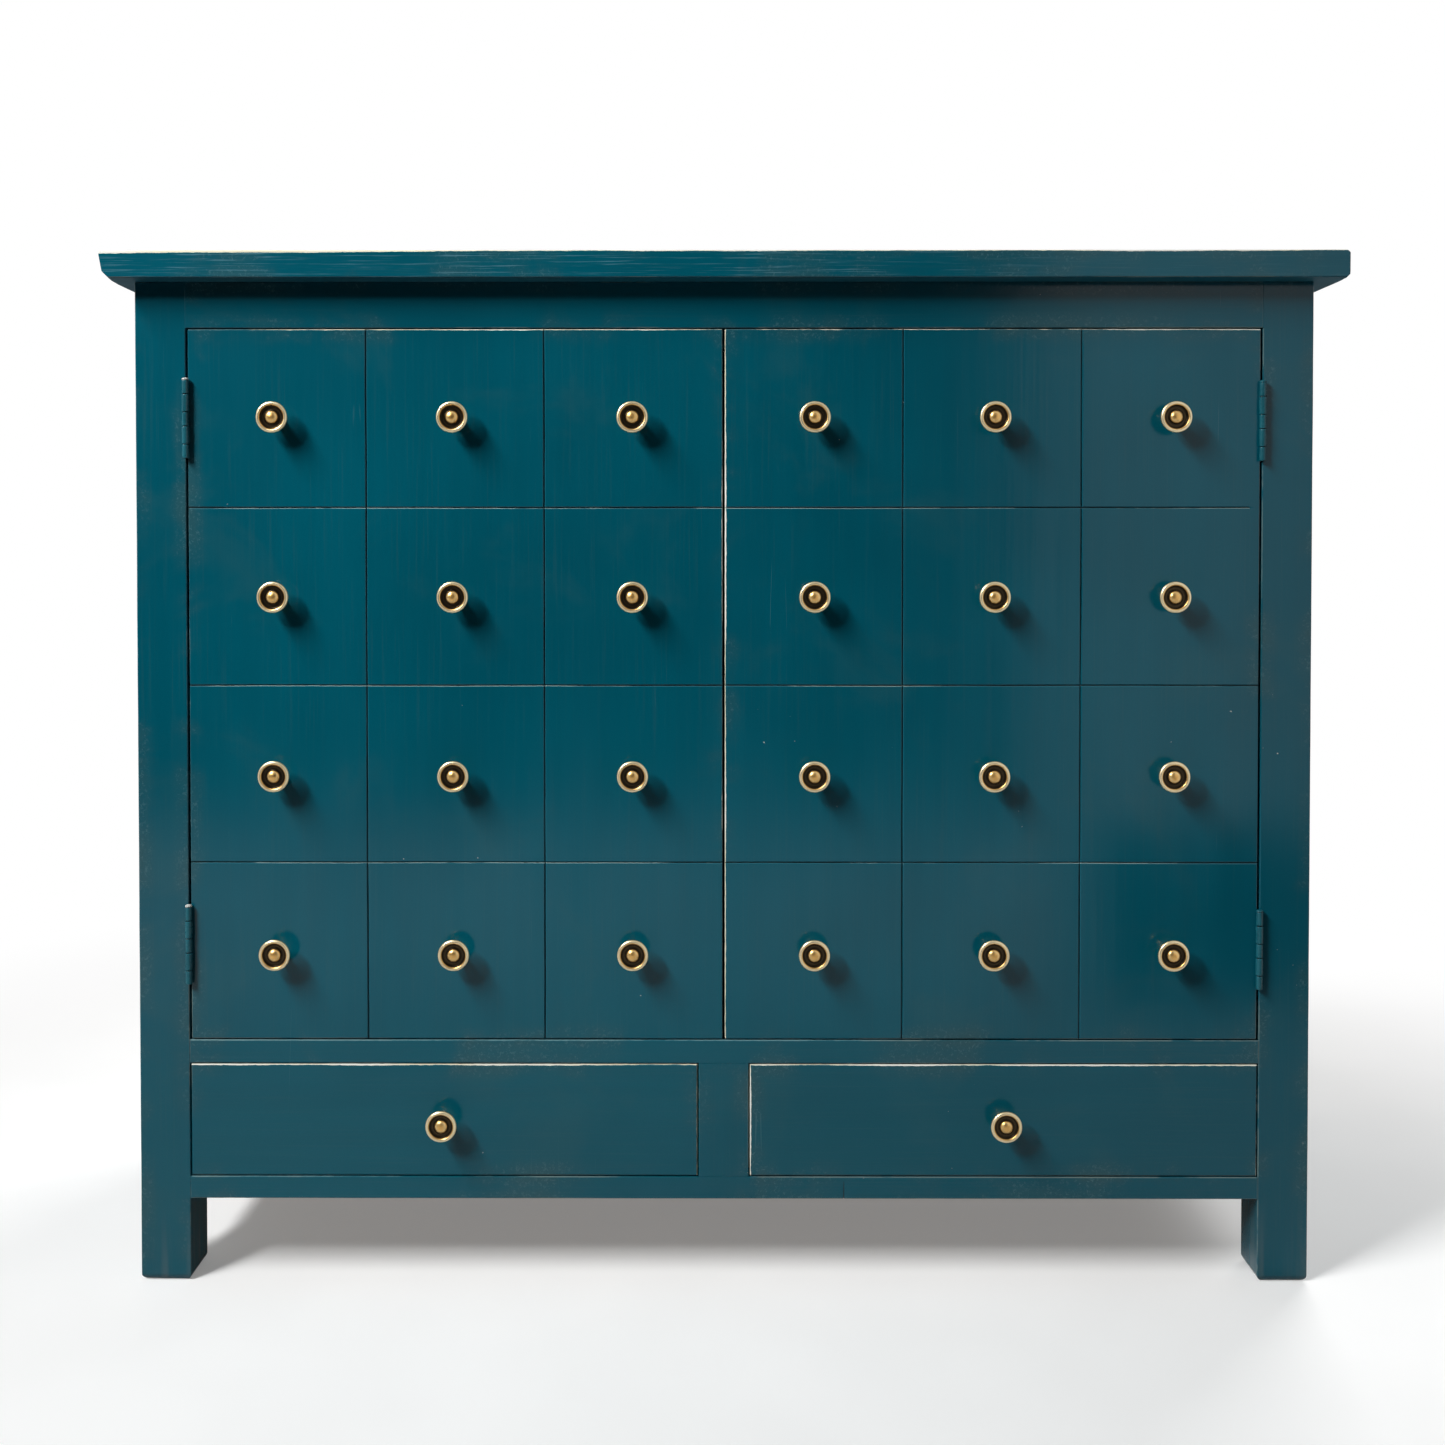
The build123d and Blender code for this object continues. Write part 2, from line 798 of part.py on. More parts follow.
pins = []
frame_screws = []
for side in ("left", "right"):
    for name, level in zip(("upper", "lower"), hinge_levels(side)):
        save(f"{side}_{name}_hinge_frame_leaf", sided(frame_leaf(level), side))
        save(f"{side}_door_{name}_hinge_leaf", sided(door_leaf(level), side))
        pins.append(sided(hinge_pin(level), side))
        frame_screws += [sided(screw, side) for screw in frame_leaf_screws(level)]
save("hinge_pins", *pins)
save("frame_hinge_screws", *frame_screws)

for side in ("left", "right"):
    save(f"{side}_door_panel", door_panel(side))
    save(f"{side}_door_knobs", *[sided(knob(x, z, door_thickness), side) for x, z in knob_places()])
    screws = [knob_screw(x, z, door_thickness) for x, z in knob_places()]
    save(f"{side}_door_knob_screws", *[sided(screw, side) for screw in screws])
    leaf_fixings = [screw for level in hinge_levels(side) for screw in door_leaf_screws(level)]
    save(f"{side}_door_hinge_screws", *[sided(screw, side) for screw in leaf_fixings])
    save(f"{side}_door_strike_plate", sided(strike_plate(), side))

    left_side = drawer_side(drawer_left, drawer_left + drawer_side_thickness)
    right_side = drawer_side(drawer_right - drawer_side_thickness, drawer_right - drawer_side_thickness)
    near_side, far_side = (left_side, right_side) if side == "left" else (right_side, left_side)
    save(f"{side}_drawer_front", sided(drawer_front(), side))
    save(f"{side}_drawer_left_side", sided(near_side, side))
    save(f"{side}_drawer_right_side", sided(far_side, side))
    save(f"{side}_drawer_back", sided(drawer_back_board(), side))
    save(f"{side}_drawer_bottom", sided(drawer_bottom(), side))
    save(f"{side}_drawer_knob", sided(knob(drawer_centre, drawer_knob_level(), drawer_front_thickness), side))
    screw = knob_screw(drawer_centre, drawer_knob_level(), drawer_front_thickness)
    save(f"{side}_drawer_knob_screw", sided(screw, side))
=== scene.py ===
"""Looks of the apothecary cabinet: worn teal lacquer over cream, aged brass knobs and painted butt hinges.

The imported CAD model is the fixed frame. Metres; +X right, +Y back, +Z up; the origin is on the floor.
"""

import math

import bmesh
import bpy
from mathutils import Matrix, Vector, noise


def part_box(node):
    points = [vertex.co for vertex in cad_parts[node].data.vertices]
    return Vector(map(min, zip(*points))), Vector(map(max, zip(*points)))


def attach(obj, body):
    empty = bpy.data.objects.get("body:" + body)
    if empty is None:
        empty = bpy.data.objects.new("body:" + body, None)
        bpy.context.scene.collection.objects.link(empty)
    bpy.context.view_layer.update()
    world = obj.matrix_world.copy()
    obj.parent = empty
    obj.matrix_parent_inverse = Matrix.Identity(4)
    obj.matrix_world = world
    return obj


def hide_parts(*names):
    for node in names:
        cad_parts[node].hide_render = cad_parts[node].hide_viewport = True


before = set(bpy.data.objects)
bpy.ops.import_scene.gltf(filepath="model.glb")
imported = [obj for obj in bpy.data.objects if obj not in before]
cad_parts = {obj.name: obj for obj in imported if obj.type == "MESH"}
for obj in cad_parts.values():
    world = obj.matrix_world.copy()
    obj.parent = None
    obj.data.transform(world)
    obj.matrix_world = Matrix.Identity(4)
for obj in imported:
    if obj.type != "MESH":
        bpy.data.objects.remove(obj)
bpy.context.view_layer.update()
MM = 0.001
SIDES = ("left", "right")
SEED_STEPS = (17.3, 7.9, 3.1)


# Small helpers


def wander(*where, seed=0.0):
    """Smooth seeded noise from -1 to 1 at a place with one to three coordinates."""
    return noise.noise(Vector((*where, 0, 0)[:3]) + Vector(seed * step for step in SEED_STEPS))


def clamped(share):
    return min(1.0, max(0.0, share))


def attribute(mesh, name, kind, values):
    """Write a value for each vertex, or one value for all."""
    layer = mesh.attributes.new(name, kind, "POINT")
    field = {"FLOAT": "value", "FLOAT_VECTOR": "vector", "FLOAT_COLOR": "color"}[kind]
    if not isinstance(values, list):
        values = [values] * len(mesh.vertices)
    flat = []
    for value in values:
        flat.extend(value if isinstance(value, tuple) else (value,))
    layer.data.foreach_set(field, flat)


def new_object(name, data):
    item = bpy.data.objects.new(name, data)
    bpy.context.scene.collection.objects.link(item)
    return item


def add_object(name, mesh, body, material, nodes):
    """Add a finished mesh as a piece that rides on a body and stands for CAD nodes."""
    piece = new_object(name, mesh)
    mesh.materials.clear()
    mesh.materials.append(material)
    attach(piece, body)
    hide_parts(*nodes)
    return piece


def mesh_from(work, name, smooth=True):
    """A mesh from a bmesh, which is freed."""
    mesh = bpy.data.meshes.new(name)
    work.to_mesh(mesh)
    work.free()
    if smooth:
        mesh.shade_smooth()
    return mesh


# Materials


class Graph:
    """The node tree of a material or a world, built up as plain expressions."""

    def __init__(self, owner):
        owner.use_nodes = True
        self.owner = owner
        self.tree = owner.node_tree
        self.tree.nodes.clear()

    def add(self, kind, inputs=None, **settings):
        node = self.tree.nodes.new(kind)
        for key, value in settings.items():
            setattr(node, key, value)
        for key, value in (inputs or {}).items():
            self.put(node.inputs[key], value)
        return node

    def put(self, socket, value):
        if isinstance(value, bpy.types.NodeSocket):
            self.tree.links.new(value, socket)
        else:
            socket.default_value = value

    def math(self, operation, first, *others):
        """The operation on one value, or from left to right on several."""
        for other in others or (0.0,):
            first = self.add("ShaderNodeMath", {0: first, 1: other}, operation=operation).outputs[0]
        return first

    def times(self, *values):
        return self.math("MULTIPLY", *values)

    def minus(self, first, second):
        return self.math("SUBTRACT", first, second)

    def ramp(self, value, low, high, start=0.0, end=1.0):
        """Smooth step from start to end as the value goes from low to high."""
        node = self.add("ShaderNodeMapRange", interpolation_type="SMOOTHSTEP")
        for index, item in enumerate((value, low, high, start, end)):
            self.put(node.inputs[index], item)
        return node.outputs[0]

    def mix(self, factor, first, second):
        node = self.add("ShaderNodeMix", data_type="RGBA", clamp_factor=True)
        self.put(node.inputs[0], factor)
        for index, item in ((6, first), (7, second)):
            self.put(node.inputs[index], (*item, 1.0) if isinstance(item, tuple) else item)
        return node.outputs[2]

    def coated(self, colour, *coats):
        """A colour under coats, each with its share and its colour."""
        for share, coat in coats:
            colour = self.mix(share, colour, coat)
        return colour

    def noise(self, where, scale, detail=3.0, roughness=0.6, distortion=0.0):
        inputs = {"Vector": where, "Scale": scale, "Detail": detail}
        inputs |= {"Roughness": roughness, "Distortion": distortion}
        return self.add("ShaderNodeTexNoise", inputs).outputs["Fac"]

    def drawn_out(self, where, grain, share):
        """Coordinates that draw a texture out along one axis."""
        scale = [share if axis == grain else 1.0 for axis in "xyz"]
        return self.add("ShaderNodeMapping", {"Vector": where, "Scale": scale}).outputs["Vector"]

    def attribute(self, name, output="Fac"):
        return self.add("ShaderNodeAttribute", attribute_name=name).outputs[output]

    def coordinates(self, kind="Object"):
        return self.add("ShaderNodeTexCoord").outputs[kind]

    def parts(self, vector):
        return self.add("ShaderNodeSeparateXYZ", {0: vector}).outputs

    def rays(self, *kinds):
        """1 for rays of any of these kinds, and 0 for the others."""
        path = self.add("ShaderNodeLightPath")
        return self.math("MAXIMUM", *[path.outputs[f"Is {kind} Ray"] for kind in kinds])

    def bump(self, height, distance, strength=1.0, before=None):
        node = self.add("ShaderNodeBump", {"Height": height, "Distance": distance, "Strength": strength})
        if before:
            self.put(node.inputs["Normal"], before)
        return node.outputs["Normal"]

    def output(self, shader, kind="Material"):
        self.put(self.add(f"ShaderNodeOutput{kind}").inputs["Surface"], shader.outputs[0])
        return self.owner

    def finish(self, colour, roughness, normal, **constants):
        """A principled shader, whose constants are set on its own sockets."""
        shader = self.add("ShaderNodeBsdfPrincipled", {"Base Color": colour, "Roughness": roughness})
        self.put(shader.inputs["Normal"], normal)
        for key, value in constants.items():
            shader.inputs[key.replace("_", " ")].default_value = value
        return self.output(shader)


def new_look(name):
    """The graph of a new material, with its object coordinates."""
    g = Graph(bpy.data.materials.new(name))
    return g, g.coordinates()


TEAL = (0.0, 0.098, 0.142)
TEAL_DEEP = (0.0, 0.062, 0.092)
TEAL_WORN = (0.035, 0.110, 0.125)
# Pale teal: scuffs and scratches, and on arrises a faded pale line that is partly a painted highlight
TEAL_PALE = (0.150, 0.300, 0.330)
TEAL_STREAK = (0.14, 0.33, 0.41)
CREAM = (0.72, 0.68, 0.49)
CREAM_PALE = (0.80, 0.81, 0.73)
UNDERCOAT_DARK = (0.030, 0.026, 0.018)
SMUDGE = (0.045, 0.085, 0.086)
# Near-black in scores and the split: dirt and painted shade
GROOVE_DARK = (0.001, 0.008, 0.010)
# Pale upward sides of scores: dust, bared paint, and partly a painted highlight
GROOVE_PALE = (0.42, 0.55, 0.52)
FOOT_SCUFF = (0.18, 0.22, 0.21)
PAINT_SPECULAR = 0.27


def brushed_teal(g, place, fine, patches, strokes):
    """The lacquer's own colour: cloudy and patchy, with brush strokes, hair lines and specks."""
    clouds = g.noise(place, 3.2, 3.0, 0.55)
    hairs = g.noise(fine, 420.0, 2.0, 0.6)
    specks = g.noise(place, 800.0, 2.0, 0.6)
    return g.coated(
        TEAL,
        (g.ramp(clouds, 0.38, 0.62, 0.0, 0.35), TEAL_DEEP),
        (g.ramp(patches, 0.52, 0.70, 0.0, 0.20), TEAL_WORN),
        (g.ramp(strokes, 0.40, 0.62, 0.0, 0.12), TEAL_DEEP),
        (g.ramp(hairs, 0.50, 0.75, 0.0, 0.14), TEAL_WORN),
        (g.ramp(specks, 0.35, 0.70, 0.0, 0.16), TEAL_DEEP),
    )


def streak_share(g, place, grain, patches, upward):
    """Fine pale streaks along the grain: fewer on faces that look up, and towards the right."""
    thin = g.noise(g.drawn_out(place, grain, 0.025), 560.0, 4.0, 0.65)
    broken = g.times(g.ramp(thin, 0.52, 0.72), g.ramp(patches, 0.40, 0.62, 0.35, 1.0))
    to_right = g.ramp(g.parts(place)[0], -0.08, 0.34, 1.0, 0.22)
    return g.times(broken, g.ramp(upward, 0.3, 0.8, 1.0, 0.22), to_right)


def face_distances(g, here):
    """Distances to the block's low faces and to its high faces, along each axis."""
    low, high = (g.parts(g.attribute(end, "Vector")) for end in ("low", "high"))
    to_low = [g.minus(here[axis], low[axis]) for axis in range(3)]
    to_high = [g.minus(high[axis], here[axis]) for axis in range(3)]
    return to_low, to_high


def arris_distance(g, to_low, to_high):
    """Distance to the nearest arris: the middle one of the distances to the nearest face of each axis."""
    x, y, z = (g.math("MINIMUM", *pair) for pair in zip(to_low, to_high))
    return g.math("MAXIMUM", g.math("MINIMUM", x, y), g.math("MINIMUM", g.math("MAXIMUM", x, y), z))


def front_wear(g, place, to_low, to_high, open_edge):
    """Edge wear: what bares the undercoat, and what only fades to a pale line, partly a painted highlight.
    """
    wear_and_sheen = g.add("ShaderNodeAttribute", attribute_name="wear_and_sheen")
    amounts = [*g.add("ShaderNodeSeparateColor", {0: wear_and_sheen.outputs["Color"]}).outputs, wear_and_sheen.outputs["Alpha"]]
    frayed = g.times(g.minus(g.noise(place, 170.0), 0.5), 0.0012)
    at_front = g.ramp(to_low[1], 0.0035, 0.0015)
    sides = []
    for amount, distance in zip(amounts, (to_low[0], to_high[0], to_low[2], to_high[2])):
        width = g.math("ADD", g.times(g.math("ABSOLUTE", amount), 0.0010), 0.0006)
        reach = g.ramp(g.math("ADD", distance, frayed), width, 0.0001)
        sides.append(g.times(amount, reach, at_front))
    cream = g.math("MAXIMUM", *sides)
    faint_and_sheen = g.math("MAXIMUM", *[g.math("ABSOLUTE", side) for side in sides])
    return g.times(cream, open_edge), g.times(faint_and_sheen, open_edge)


def scratch_share(g, place):
    """Hair-thin slanting scratches, in a few spots only."""
    inputs = {"Vector": place, "Rotation": (0.4, 0.7, 0.2), "Scale": (1.0, 1.0, 0.03)}
    tilted = g.add("ShaderNodeMapping", inputs).outputs["Vector"]
    line = g.math("ABSOLUTE", g.minus(g.noise(tilted, 30.0, 0.0, 0.4), 0.5))
    spots = g.ramp(g.noise(place, 11.0, 2.0, 0.5, 0.3), 0.60, 0.68)
    return g.times(g.ramp(line, 0.0030, 0.0), spots)


def lacquer(name, grain, streaks=0.0):
    """Brushed teal lacquer, worn to a cream undercoat on its arrises.

    grain is the axis that it was brushed along, and streaks says how much its pale streaks show.
    """
    g, place = new_look(name)
    here = g.parts(place)
    upward = g.parts(g.coordinates("Normal"))[2]
    brushed = g.drawn_out(place, grain, 0.06)
    fine = g.drawn_out(place, grain, 0.02)
    patches = g.noise(place, 9.0, 4.0, 0.6, 0.4)
    strokes = g.noise(brushed, 45.0, 3.0, 0.55)
    colour = brushed_teal(g, place, fine, patches, strokes)
    if streaks:
        faded = streak_share(g, place, grain, patches, upward)
        colour = g.mix(g.times(faded, streaks), colour, TEAL_STREAK)

    # Arrises rubbed through (bared), thin beside that (halo), faded pale, partly painted highlight, or only
    # rubbed
    to_low, to_high = face_distances(g, here)
    edge = arris_distance(g, to_low, to_high)
    open_edge = g.attribute("open")
    cream, faint_and_sheen = front_wear(g, place, to_low, to_high, open_edge)
    broken = g.noise(place, 60.0, 4.0, 0.6)
    runs = g.noise(place, 5.0)
    ragged = g.math("ADD", g.times(broken, 0.24), g.times(runs, 0.76))
    ragged = g.ramp(ragged, 0.36, 0.64)
    through = g.minus(ragged, g.minus(1.0, cream))
    worn_here = g.ramp(cream, 0.02, 0.12)
    bared = g.times(g.ramp(through, -0.06, 0.06), worn_here)
    halo = g.times(g.ramp(through, -0.22, -0.04), worn_here)
    # A faded pale line along the arrises: faded paint, and partly a painted highlight
    thinned_and_sheen = g.ramp(g.minus(g.math("ADD", ragged, faint_and_sheen), 1.0), -0.55, -0.05)
    thinned_and_sheen = g.times(thinned_and_sheen, g.ramp(faint_and_sheen, 0.0, 0.6))
    everywhere = g.times(g.ramp(edge, 0.0011, 0.0002), g.ramp(ragged, 0.45, 0.80), open_edge, 0.18)
    rubbed = g.times(g.ramp(edge, 0.019, 0.0), g.ramp(patches, 0.45, 0.70), open_edge, 0.38)
    scuffs = g.ramp(g.noise(place, 330.0, 4.0, 0.75, 0.6), 0.53, 0.66)
    scuffed = g.times(scuffs, g.ramp(rubbed, 0.02, 0.22), 0.22)

    # Scores and the split are near-black inside: dirt and painted shade. The score sides that look up are
    # pale:
    # dust and bared paint, and partly a painted highlight
    groove = g.attribute("groove")
    # Pale on score sides that look up: dust and bared paint, and partly a painted highlight
    ledge_dust_and_highlight = g.times(g.ramp(groove, 0.02, 0.20), g.ramp(upward, 0.25, 0.6))
    ledge_dust_and_highlight = g.times(ledge_dust_and_highlight, g.ramp(ragged, 0.30, 0.75, 0.08, 0.62))

    # Chips and scuffed feet
    chips = g.ramp(g.noise(place, 210.0, 1.0, 0.4), 0.79, 0.805)
    chipped = g.times(chips, g.ramp(g.noise(place, 7.0, 2.0, 0.5), 0.57, 0.65))
    foot = g.times(g.ramp(here[2], 0.085, 0.0), g.ramp(strokes, 0.45, 0.70))

    colour = g.coated(
        colour,
        (rubbed, SMUDGE),
        (scuffed, TEAL_PALE),
        (everywhere, CREAM),
        (g.times(thinned_and_sheen, 0.75), TEAL_PALE),
        (g.times(halo, 0.22), UNDERCOAT_DARK),
        (bared, g.mix(g.ramp(runs, 0.40, 0.60), CREAM, CREAM_PALE)),
        # Near-black in scores is dirt and painted shade; their pale upward sides are partly a painted
        # highlight
        (g.ramp(groove, 0.25, 0.70, 0.0, 0.96), GROOVE_DARK),
        (ledge_dust_and_highlight, GROOVE_PALE),
        (g.times(chipped, 0.6), CREAM_PALE),
        (g.times(scratch_share(g, place), 0.16), TEAL_PALE),
        (g.times(foot, 0.35), FOOT_SCUFF),
    )

    gloss = g.ramp(g.noise(brushed, 18.0), 0.3, 0.7, 0.14, 0.21)
    dull = g.math("MAXIMUM", g.times(bared, 0.6), g.times(groove, 0.5))
    underneath = g.ramp(upward, -0.3, -0.8, 0.0, 0.75)
    roughness = g.math("MAXIMUM", gloss, dull, underneath)
    if streaks:
        roughness = g.math("MAXIMUM", roughness, g.ramp(upward, 0.7, 0.95, 0.0, 0.40))
    grainy = g.bump(g.noise(fine, 260.0), 0.00012, 0.35)
    wavy = g.bump(g.noise(brushed, 60.0, 2.0, 0.5), 0.0004, 0.25, grainy)
    normal = g.bump(g.minus(1.0, bared), 0.00025, 0.6, wavy)
    return g.finish(colour, roughness, normal, Specular_IOR_Level=PAINT_SPECULAR)


WOOD_PALE = (0.47, 0.31, 0.165)
WOOD_RING = (0.35, 0.205, 0.098)
WOOD_FIBRE = (0.24, 0.135, 0.065)
WOOD_STAIN = (0.27, 0.17, 0.095)
WOOD_TINT = (0.30, 0.185, 0.095)


def bare_wood(name, grain, boards=None):
    """Unpainted softwood, grained along one axis. boards is where its boards start in X, and a width."""
    g, place = new_look(name)
    if boards:
        start, width = boards
        number = g.math("FLOOR", g.math("DIVIDE", g.minus(g.parts(place)[0], start), width))
        moved = g.add("ShaderNodeCombineXYZ", {0: number, 2: g.times(number, 3.7)}).outputs[0]
        place = g.add("ShaderNodeVectorMath", {0: place, 1: moved}, operation="ADD").outputs[0]
    bent = g.noise(g.drawn_out(place, grain, 0.05), 9.0, 2.0, 0.5)
    rings = g.math("SINE", g.times(bent, 150.0))
    fibres = g.noise(g.drawn_out(place, grain, 0.02), 500.0)
    stains = g.noise(place, 5.0)
    colour = g.coated(
        WOOD_PALE,
        (g.ramp(rings, -0.7, 0.9, 0.0, 0.7), WOOD_RING),
        (g.ramp(fibres, 0.45, 0.68, 0.0, 0.45), WOOD_FIBRE),
        (g.ramp(stains, 0.45, 0.72, 0.0, 0.35), WOOD_STAIN),
    )
    if boards:
        tint = g.add("ShaderNodeTexWhiteNoise", {"W": number}, noise_dimensions="1D").outputs["Value"]
        colour = g.mix(g.times(tint, 0.30), colour, WOOD_TINT)
    roughness = g.ramp(fibres, 0.3, 0.7, 0.55, 0.75)
    ridged = g.bump(fibres, 0.00025, 0.5)
    return g.finish(colour, roughness, g.bump(rings, 0.0002, 0.3, ridged))


BRASS_WARM = (0.66, 0.50, 0.245)
BRASS_DULL = (0.54, 0.385, 0.170)
BRASS_RUBBED = (0.79, 0.65, 0.41)
BRASS_RED = (0.68, 0.40, 0.13)
BRASS_MOTTLE = (0.34, 0.22, 0.095)
PATINA = (0.20, 0.135, 0.058)
PATINA_DARK = (0.030, 0.022, 0.014)


def aged_brass():
    """Turned brass, polished by hands on its rim and dark with patina in its channel."""
    g, place = new_look("aged_brass_look")
    grime_and_shading = g.attribute("grime_and_shading")
    mottled = g.noise(place, 260.0, 4.0, 0.65)
    drift = g.noise(place, 31.0, 2.0, 0.5)
    dirt = g.math("ADD", grime_and_shading, g.times(g.minus(mottled, 0.5), 0.14))
    colour = g.coated(
        BRASS_RUBBED,
        (g.ramp(grime_and_shading, 0.0, 0.10), g.mix(g.ramp(drift, 0.35, 0.65), BRASS_WARM, BRASS_DULL)),
        (g.ramp(grime_and_shading, 0.10, 0.16), BRASS_RED),
        (g.ramp(mottled, 0.55, 0.75, 0.0, 0.12), BRASS_MOTTLE),
        (g.ramp(dirt, 0.15, 0.50), PATINA),
        (g.ramp(dirt, 0.50, 0.85), PATINA_DARK),
    )
    roughness = g.ramp(mottled, 0.3, 0.7, 0.33, 0.41)
    return g.finish(colour, roughness, g.bump(mottled, 0.00002, 0.08), Metallic=1.0)


HINGE_TEAL = (0.010, 0.112, 0.146)
HINGE_TEAL_DEEP = (0.004, 0.074, 0.100)
# Near-black in the knuckles' gaps: painted shade
HINGE_JOINT = (0.001, 0.007, 0.009)
# Pale bared iron, which on pin heads is partly a painted highlight
HINGE_IRON_AND_HIGHLIGHT = (0.46, 0.47, 0.44)


def painted_hinge():
    """Painted iron hinges: grime marks bare iron with painted highlight, and painted shade in joints."""
    g, place = new_look("painted_hinge_look")
    brushed = g.noise(g.drawn_out(place, "z", 0.15), 220.0)
    mottled = g.noise(place, 150.0, 4.0, 0.6)
    # grime 1 is paint rubbed off, on pin heads partly a painted highlight; -1 is painted shade in a joint's
    # gap
    rub_and_shading = g.attribute("grime_and_shading")
    bared = g.ramp(g.math("ADD", rub_and_shading, g.times(g.minus(mottled, 0.5), 1.3)), 0.62, 0.85)
    joint = g.ramp(rub_and_shading, -0.15, -0.85)
    painted_over = (g.ramp(brushed, 0.4, 0.62), HINGE_TEAL_DEEP)
    colour = g.coated(HINGE_TEAL, painted_over, (joint, HINGE_JOINT), (bared, HINGE_IRON_AND_HIGHLIGHT))
    roughness = g.ramp(mottled, 0.3, 0.7, 0.24, 0.36)
    normal = g.bump(brushed, 0.0002, 0.45)
    return g.finish(colour, roughness, normal, Specular_IOR_Level=PAINT_SPECULAR)


STEEL_PALE = (0.58, 0.57, 0.54)
STEEL_GREY = (0.47, 0.46, 0.43)
STEEL_TARNISH = (0.27, 0.23, 0.18)


def steel():
    """Zinc-plated steel, mottled and a little tarnished."""
    g, place = new_look("steel_look")
    mottled = g.noise(place, 190.0, 4.0, 0.6)
    drift = g.noise(place, 25.0, 2.0, 0.5)
    tarnished = g.ramp(mottled, 0.55, 0.75, 0.0, 0.6)
    colour = g.coated(STEEL_PALE, (g.ramp(drift, 0.35, 0.65), STEEL_GREY), (tarnished, STEEL_TARNISH))
    roughness = g.ramp(mottled, 0.3, 0.7, 0.28, 0.5)
    return g.finish(colour, roughness, g.bump(mottled, 0.0001, 0.4), Metallic=1.0)


BOARDS = 6
BOARDS_HALF = 487.0 * MM
PAINT = {axis: lacquer(f"lacquer_{axis}", axis) for axis in "xyz"}
PAINT["top"] = lacquer("lacquer_top", "x", 0.74)
WOOD = {axis: bare_wood(f"bare_wood_{axis}", axis) for axis in "xyz"}
WOOD["boards"] = bare_wood("bare_wood_boards", "z", (-BOARDS_HALF, 2 * BOARDS_HALF / BOARDS))
BRASS = aged_brass()
HINGE_PAINT = painted_hinge()
STEEL = steel()


# Blocks of wood with rounded, uneven arrises
ARRIS = 0.9 * MM
NOT_WORN = (0.0, 0.0, 0.0, 0.0)


def stations(low, high, arris, pitch, extra=()):
    """Grid lines along one axis: close together at both arrises, and at the extra places."""
    near = [0.0, 0.35 * arris, 0.75 * arris, arris, arris + 1.2 * MM, arris + 4 * MM]
    near = [step for step in near if step < 0.45 * (high - low)]
    inside_low, inside_high = low + near[-1], high - near[-1]
    count = max(1, round((inside_high - inside_low) / pitch))
    found = [low + step for step in near] + [high - step for step in near] + list(extra)
    for index in range(1, count):
        place = inside_low + (inside_high - inside_low) * index / count
        if all(abs(place - other) > 0.3 * pitch for other in extra):
            found.append(place)
    return sorted(set(round(place, 7) for place in found))


def block(
    name, low, high, arris=ARRIS, pitch=0.03, extra=((), (), ()), shape=None, seed=1.0, open_at=None
):
    """A closed block on a grid, whose rounded arrises vary a little along their length.

    extra gives each axis grid lines, and shape moves a place. open_at gives 1 where an arris is free, and
    0 at a joint that the paint has closed, where it stays sharp.
    """
    grid = [stations(low[axis], high[axis], arris, pitch, extra[axis]) for axis in range(3)]
    last = [len(line) - 1 for line in grid]
    places, keys, faces, free = [], {}, [], []

    def vertex(index):
        key = tuple(index)
        if key not in keys:
            sharp = Vector(grid[axis][index[axis]] for axis in range(3))
            free.append(open_at(sharp) if open_at else 1.0)
            radius = arris * (1.0 + 0.45 * wander(*(sharp * 30), seed=seed)) * max(0.02, free[-1])
            inner = Vector(
                min(max(sharp[axis], low[axis] + radius), high[axis] - radius) for axis in range(3)
            )
            place = inner + (sharp - inner).normalized() * radius
            keys[key] = len(places)
            places.append(shape(place, key) if shape else place)
        return keys[key]

    for axis in range(3):
        u, v = (axis + 1) % 3, (axis + 2) % 3
        for side in (0, last[axis]):
            for i in range(last[u]):
                for j in range(last[v]):
                    ring = []
                    for di, dj in ((0, 0), (1, 0), (1, 1), (0, 1)):
                        index = [0, 0, 0]
                        index[axis], index[u], index[v] = side, i + di, j + dj
                        ring.append(vertex(index))
                    faces.append(ring if side else ring[::-1])
    mesh = bpy.data.meshes.new(name)
    mesh.from_pydata([tuple(place) for place in places], [], faces)
    mesh.shade_smooth()
    attribute(mesh, "open", "FLOAT", free)
    return mesh


def joined(name, parts):
    """One mesh from several, with their vertex attributes."""
    whole = bmesh.new()
    for part in parts:
        whole.from_mesh(part)
    return mesh_from(whole, name, smooth=False)


def graded(first, second, start, end):
    """Edge amounts that change from one set to another along a stretch of X."""

    def wear_and_sheen(place):
        share = clamped((place.x - start) / (end - start))
        return tuple(one + (other - one) * share for one, other in zip(first, second))

    return wear_and_sheen


def paint_notes(mesh, low, high, wear_and_sheen=NOT_WORN, groove=0.0):
    """What the lacquer reads: the block's box, how much its front edges wear and how deep its grooves are.

    The edge amounts are for the left, right, low and high edge: above 0 they bare the undercoat, all along
    from 1 up, and below 0 they only fade it to a pale line, which is partly a painted highlight. The amounts
    and groove can be functions of a place, or a list for the vertices.
    """
    places = [vertex.co for vertex in mesh.vertices]
    wear_and_sheen = [wear_and_sheen(place) for place in places] if callable(wear_and_sheen) else wear_and_sheen
    groove = [groove(place) for place in places] if callable(groove) else groove
    attribute(mesh, "low", "FLOAT_VECTOR", tuple(low))
    attribute(mesh, "high", "FLOAT_VECTOR", tuple(high))
    attribute(mesh, "wear_and_sheen", "FLOAT_COLOR", wear_and_sheen)
    attribute(mesh, "groove", "FLOAT", groove)


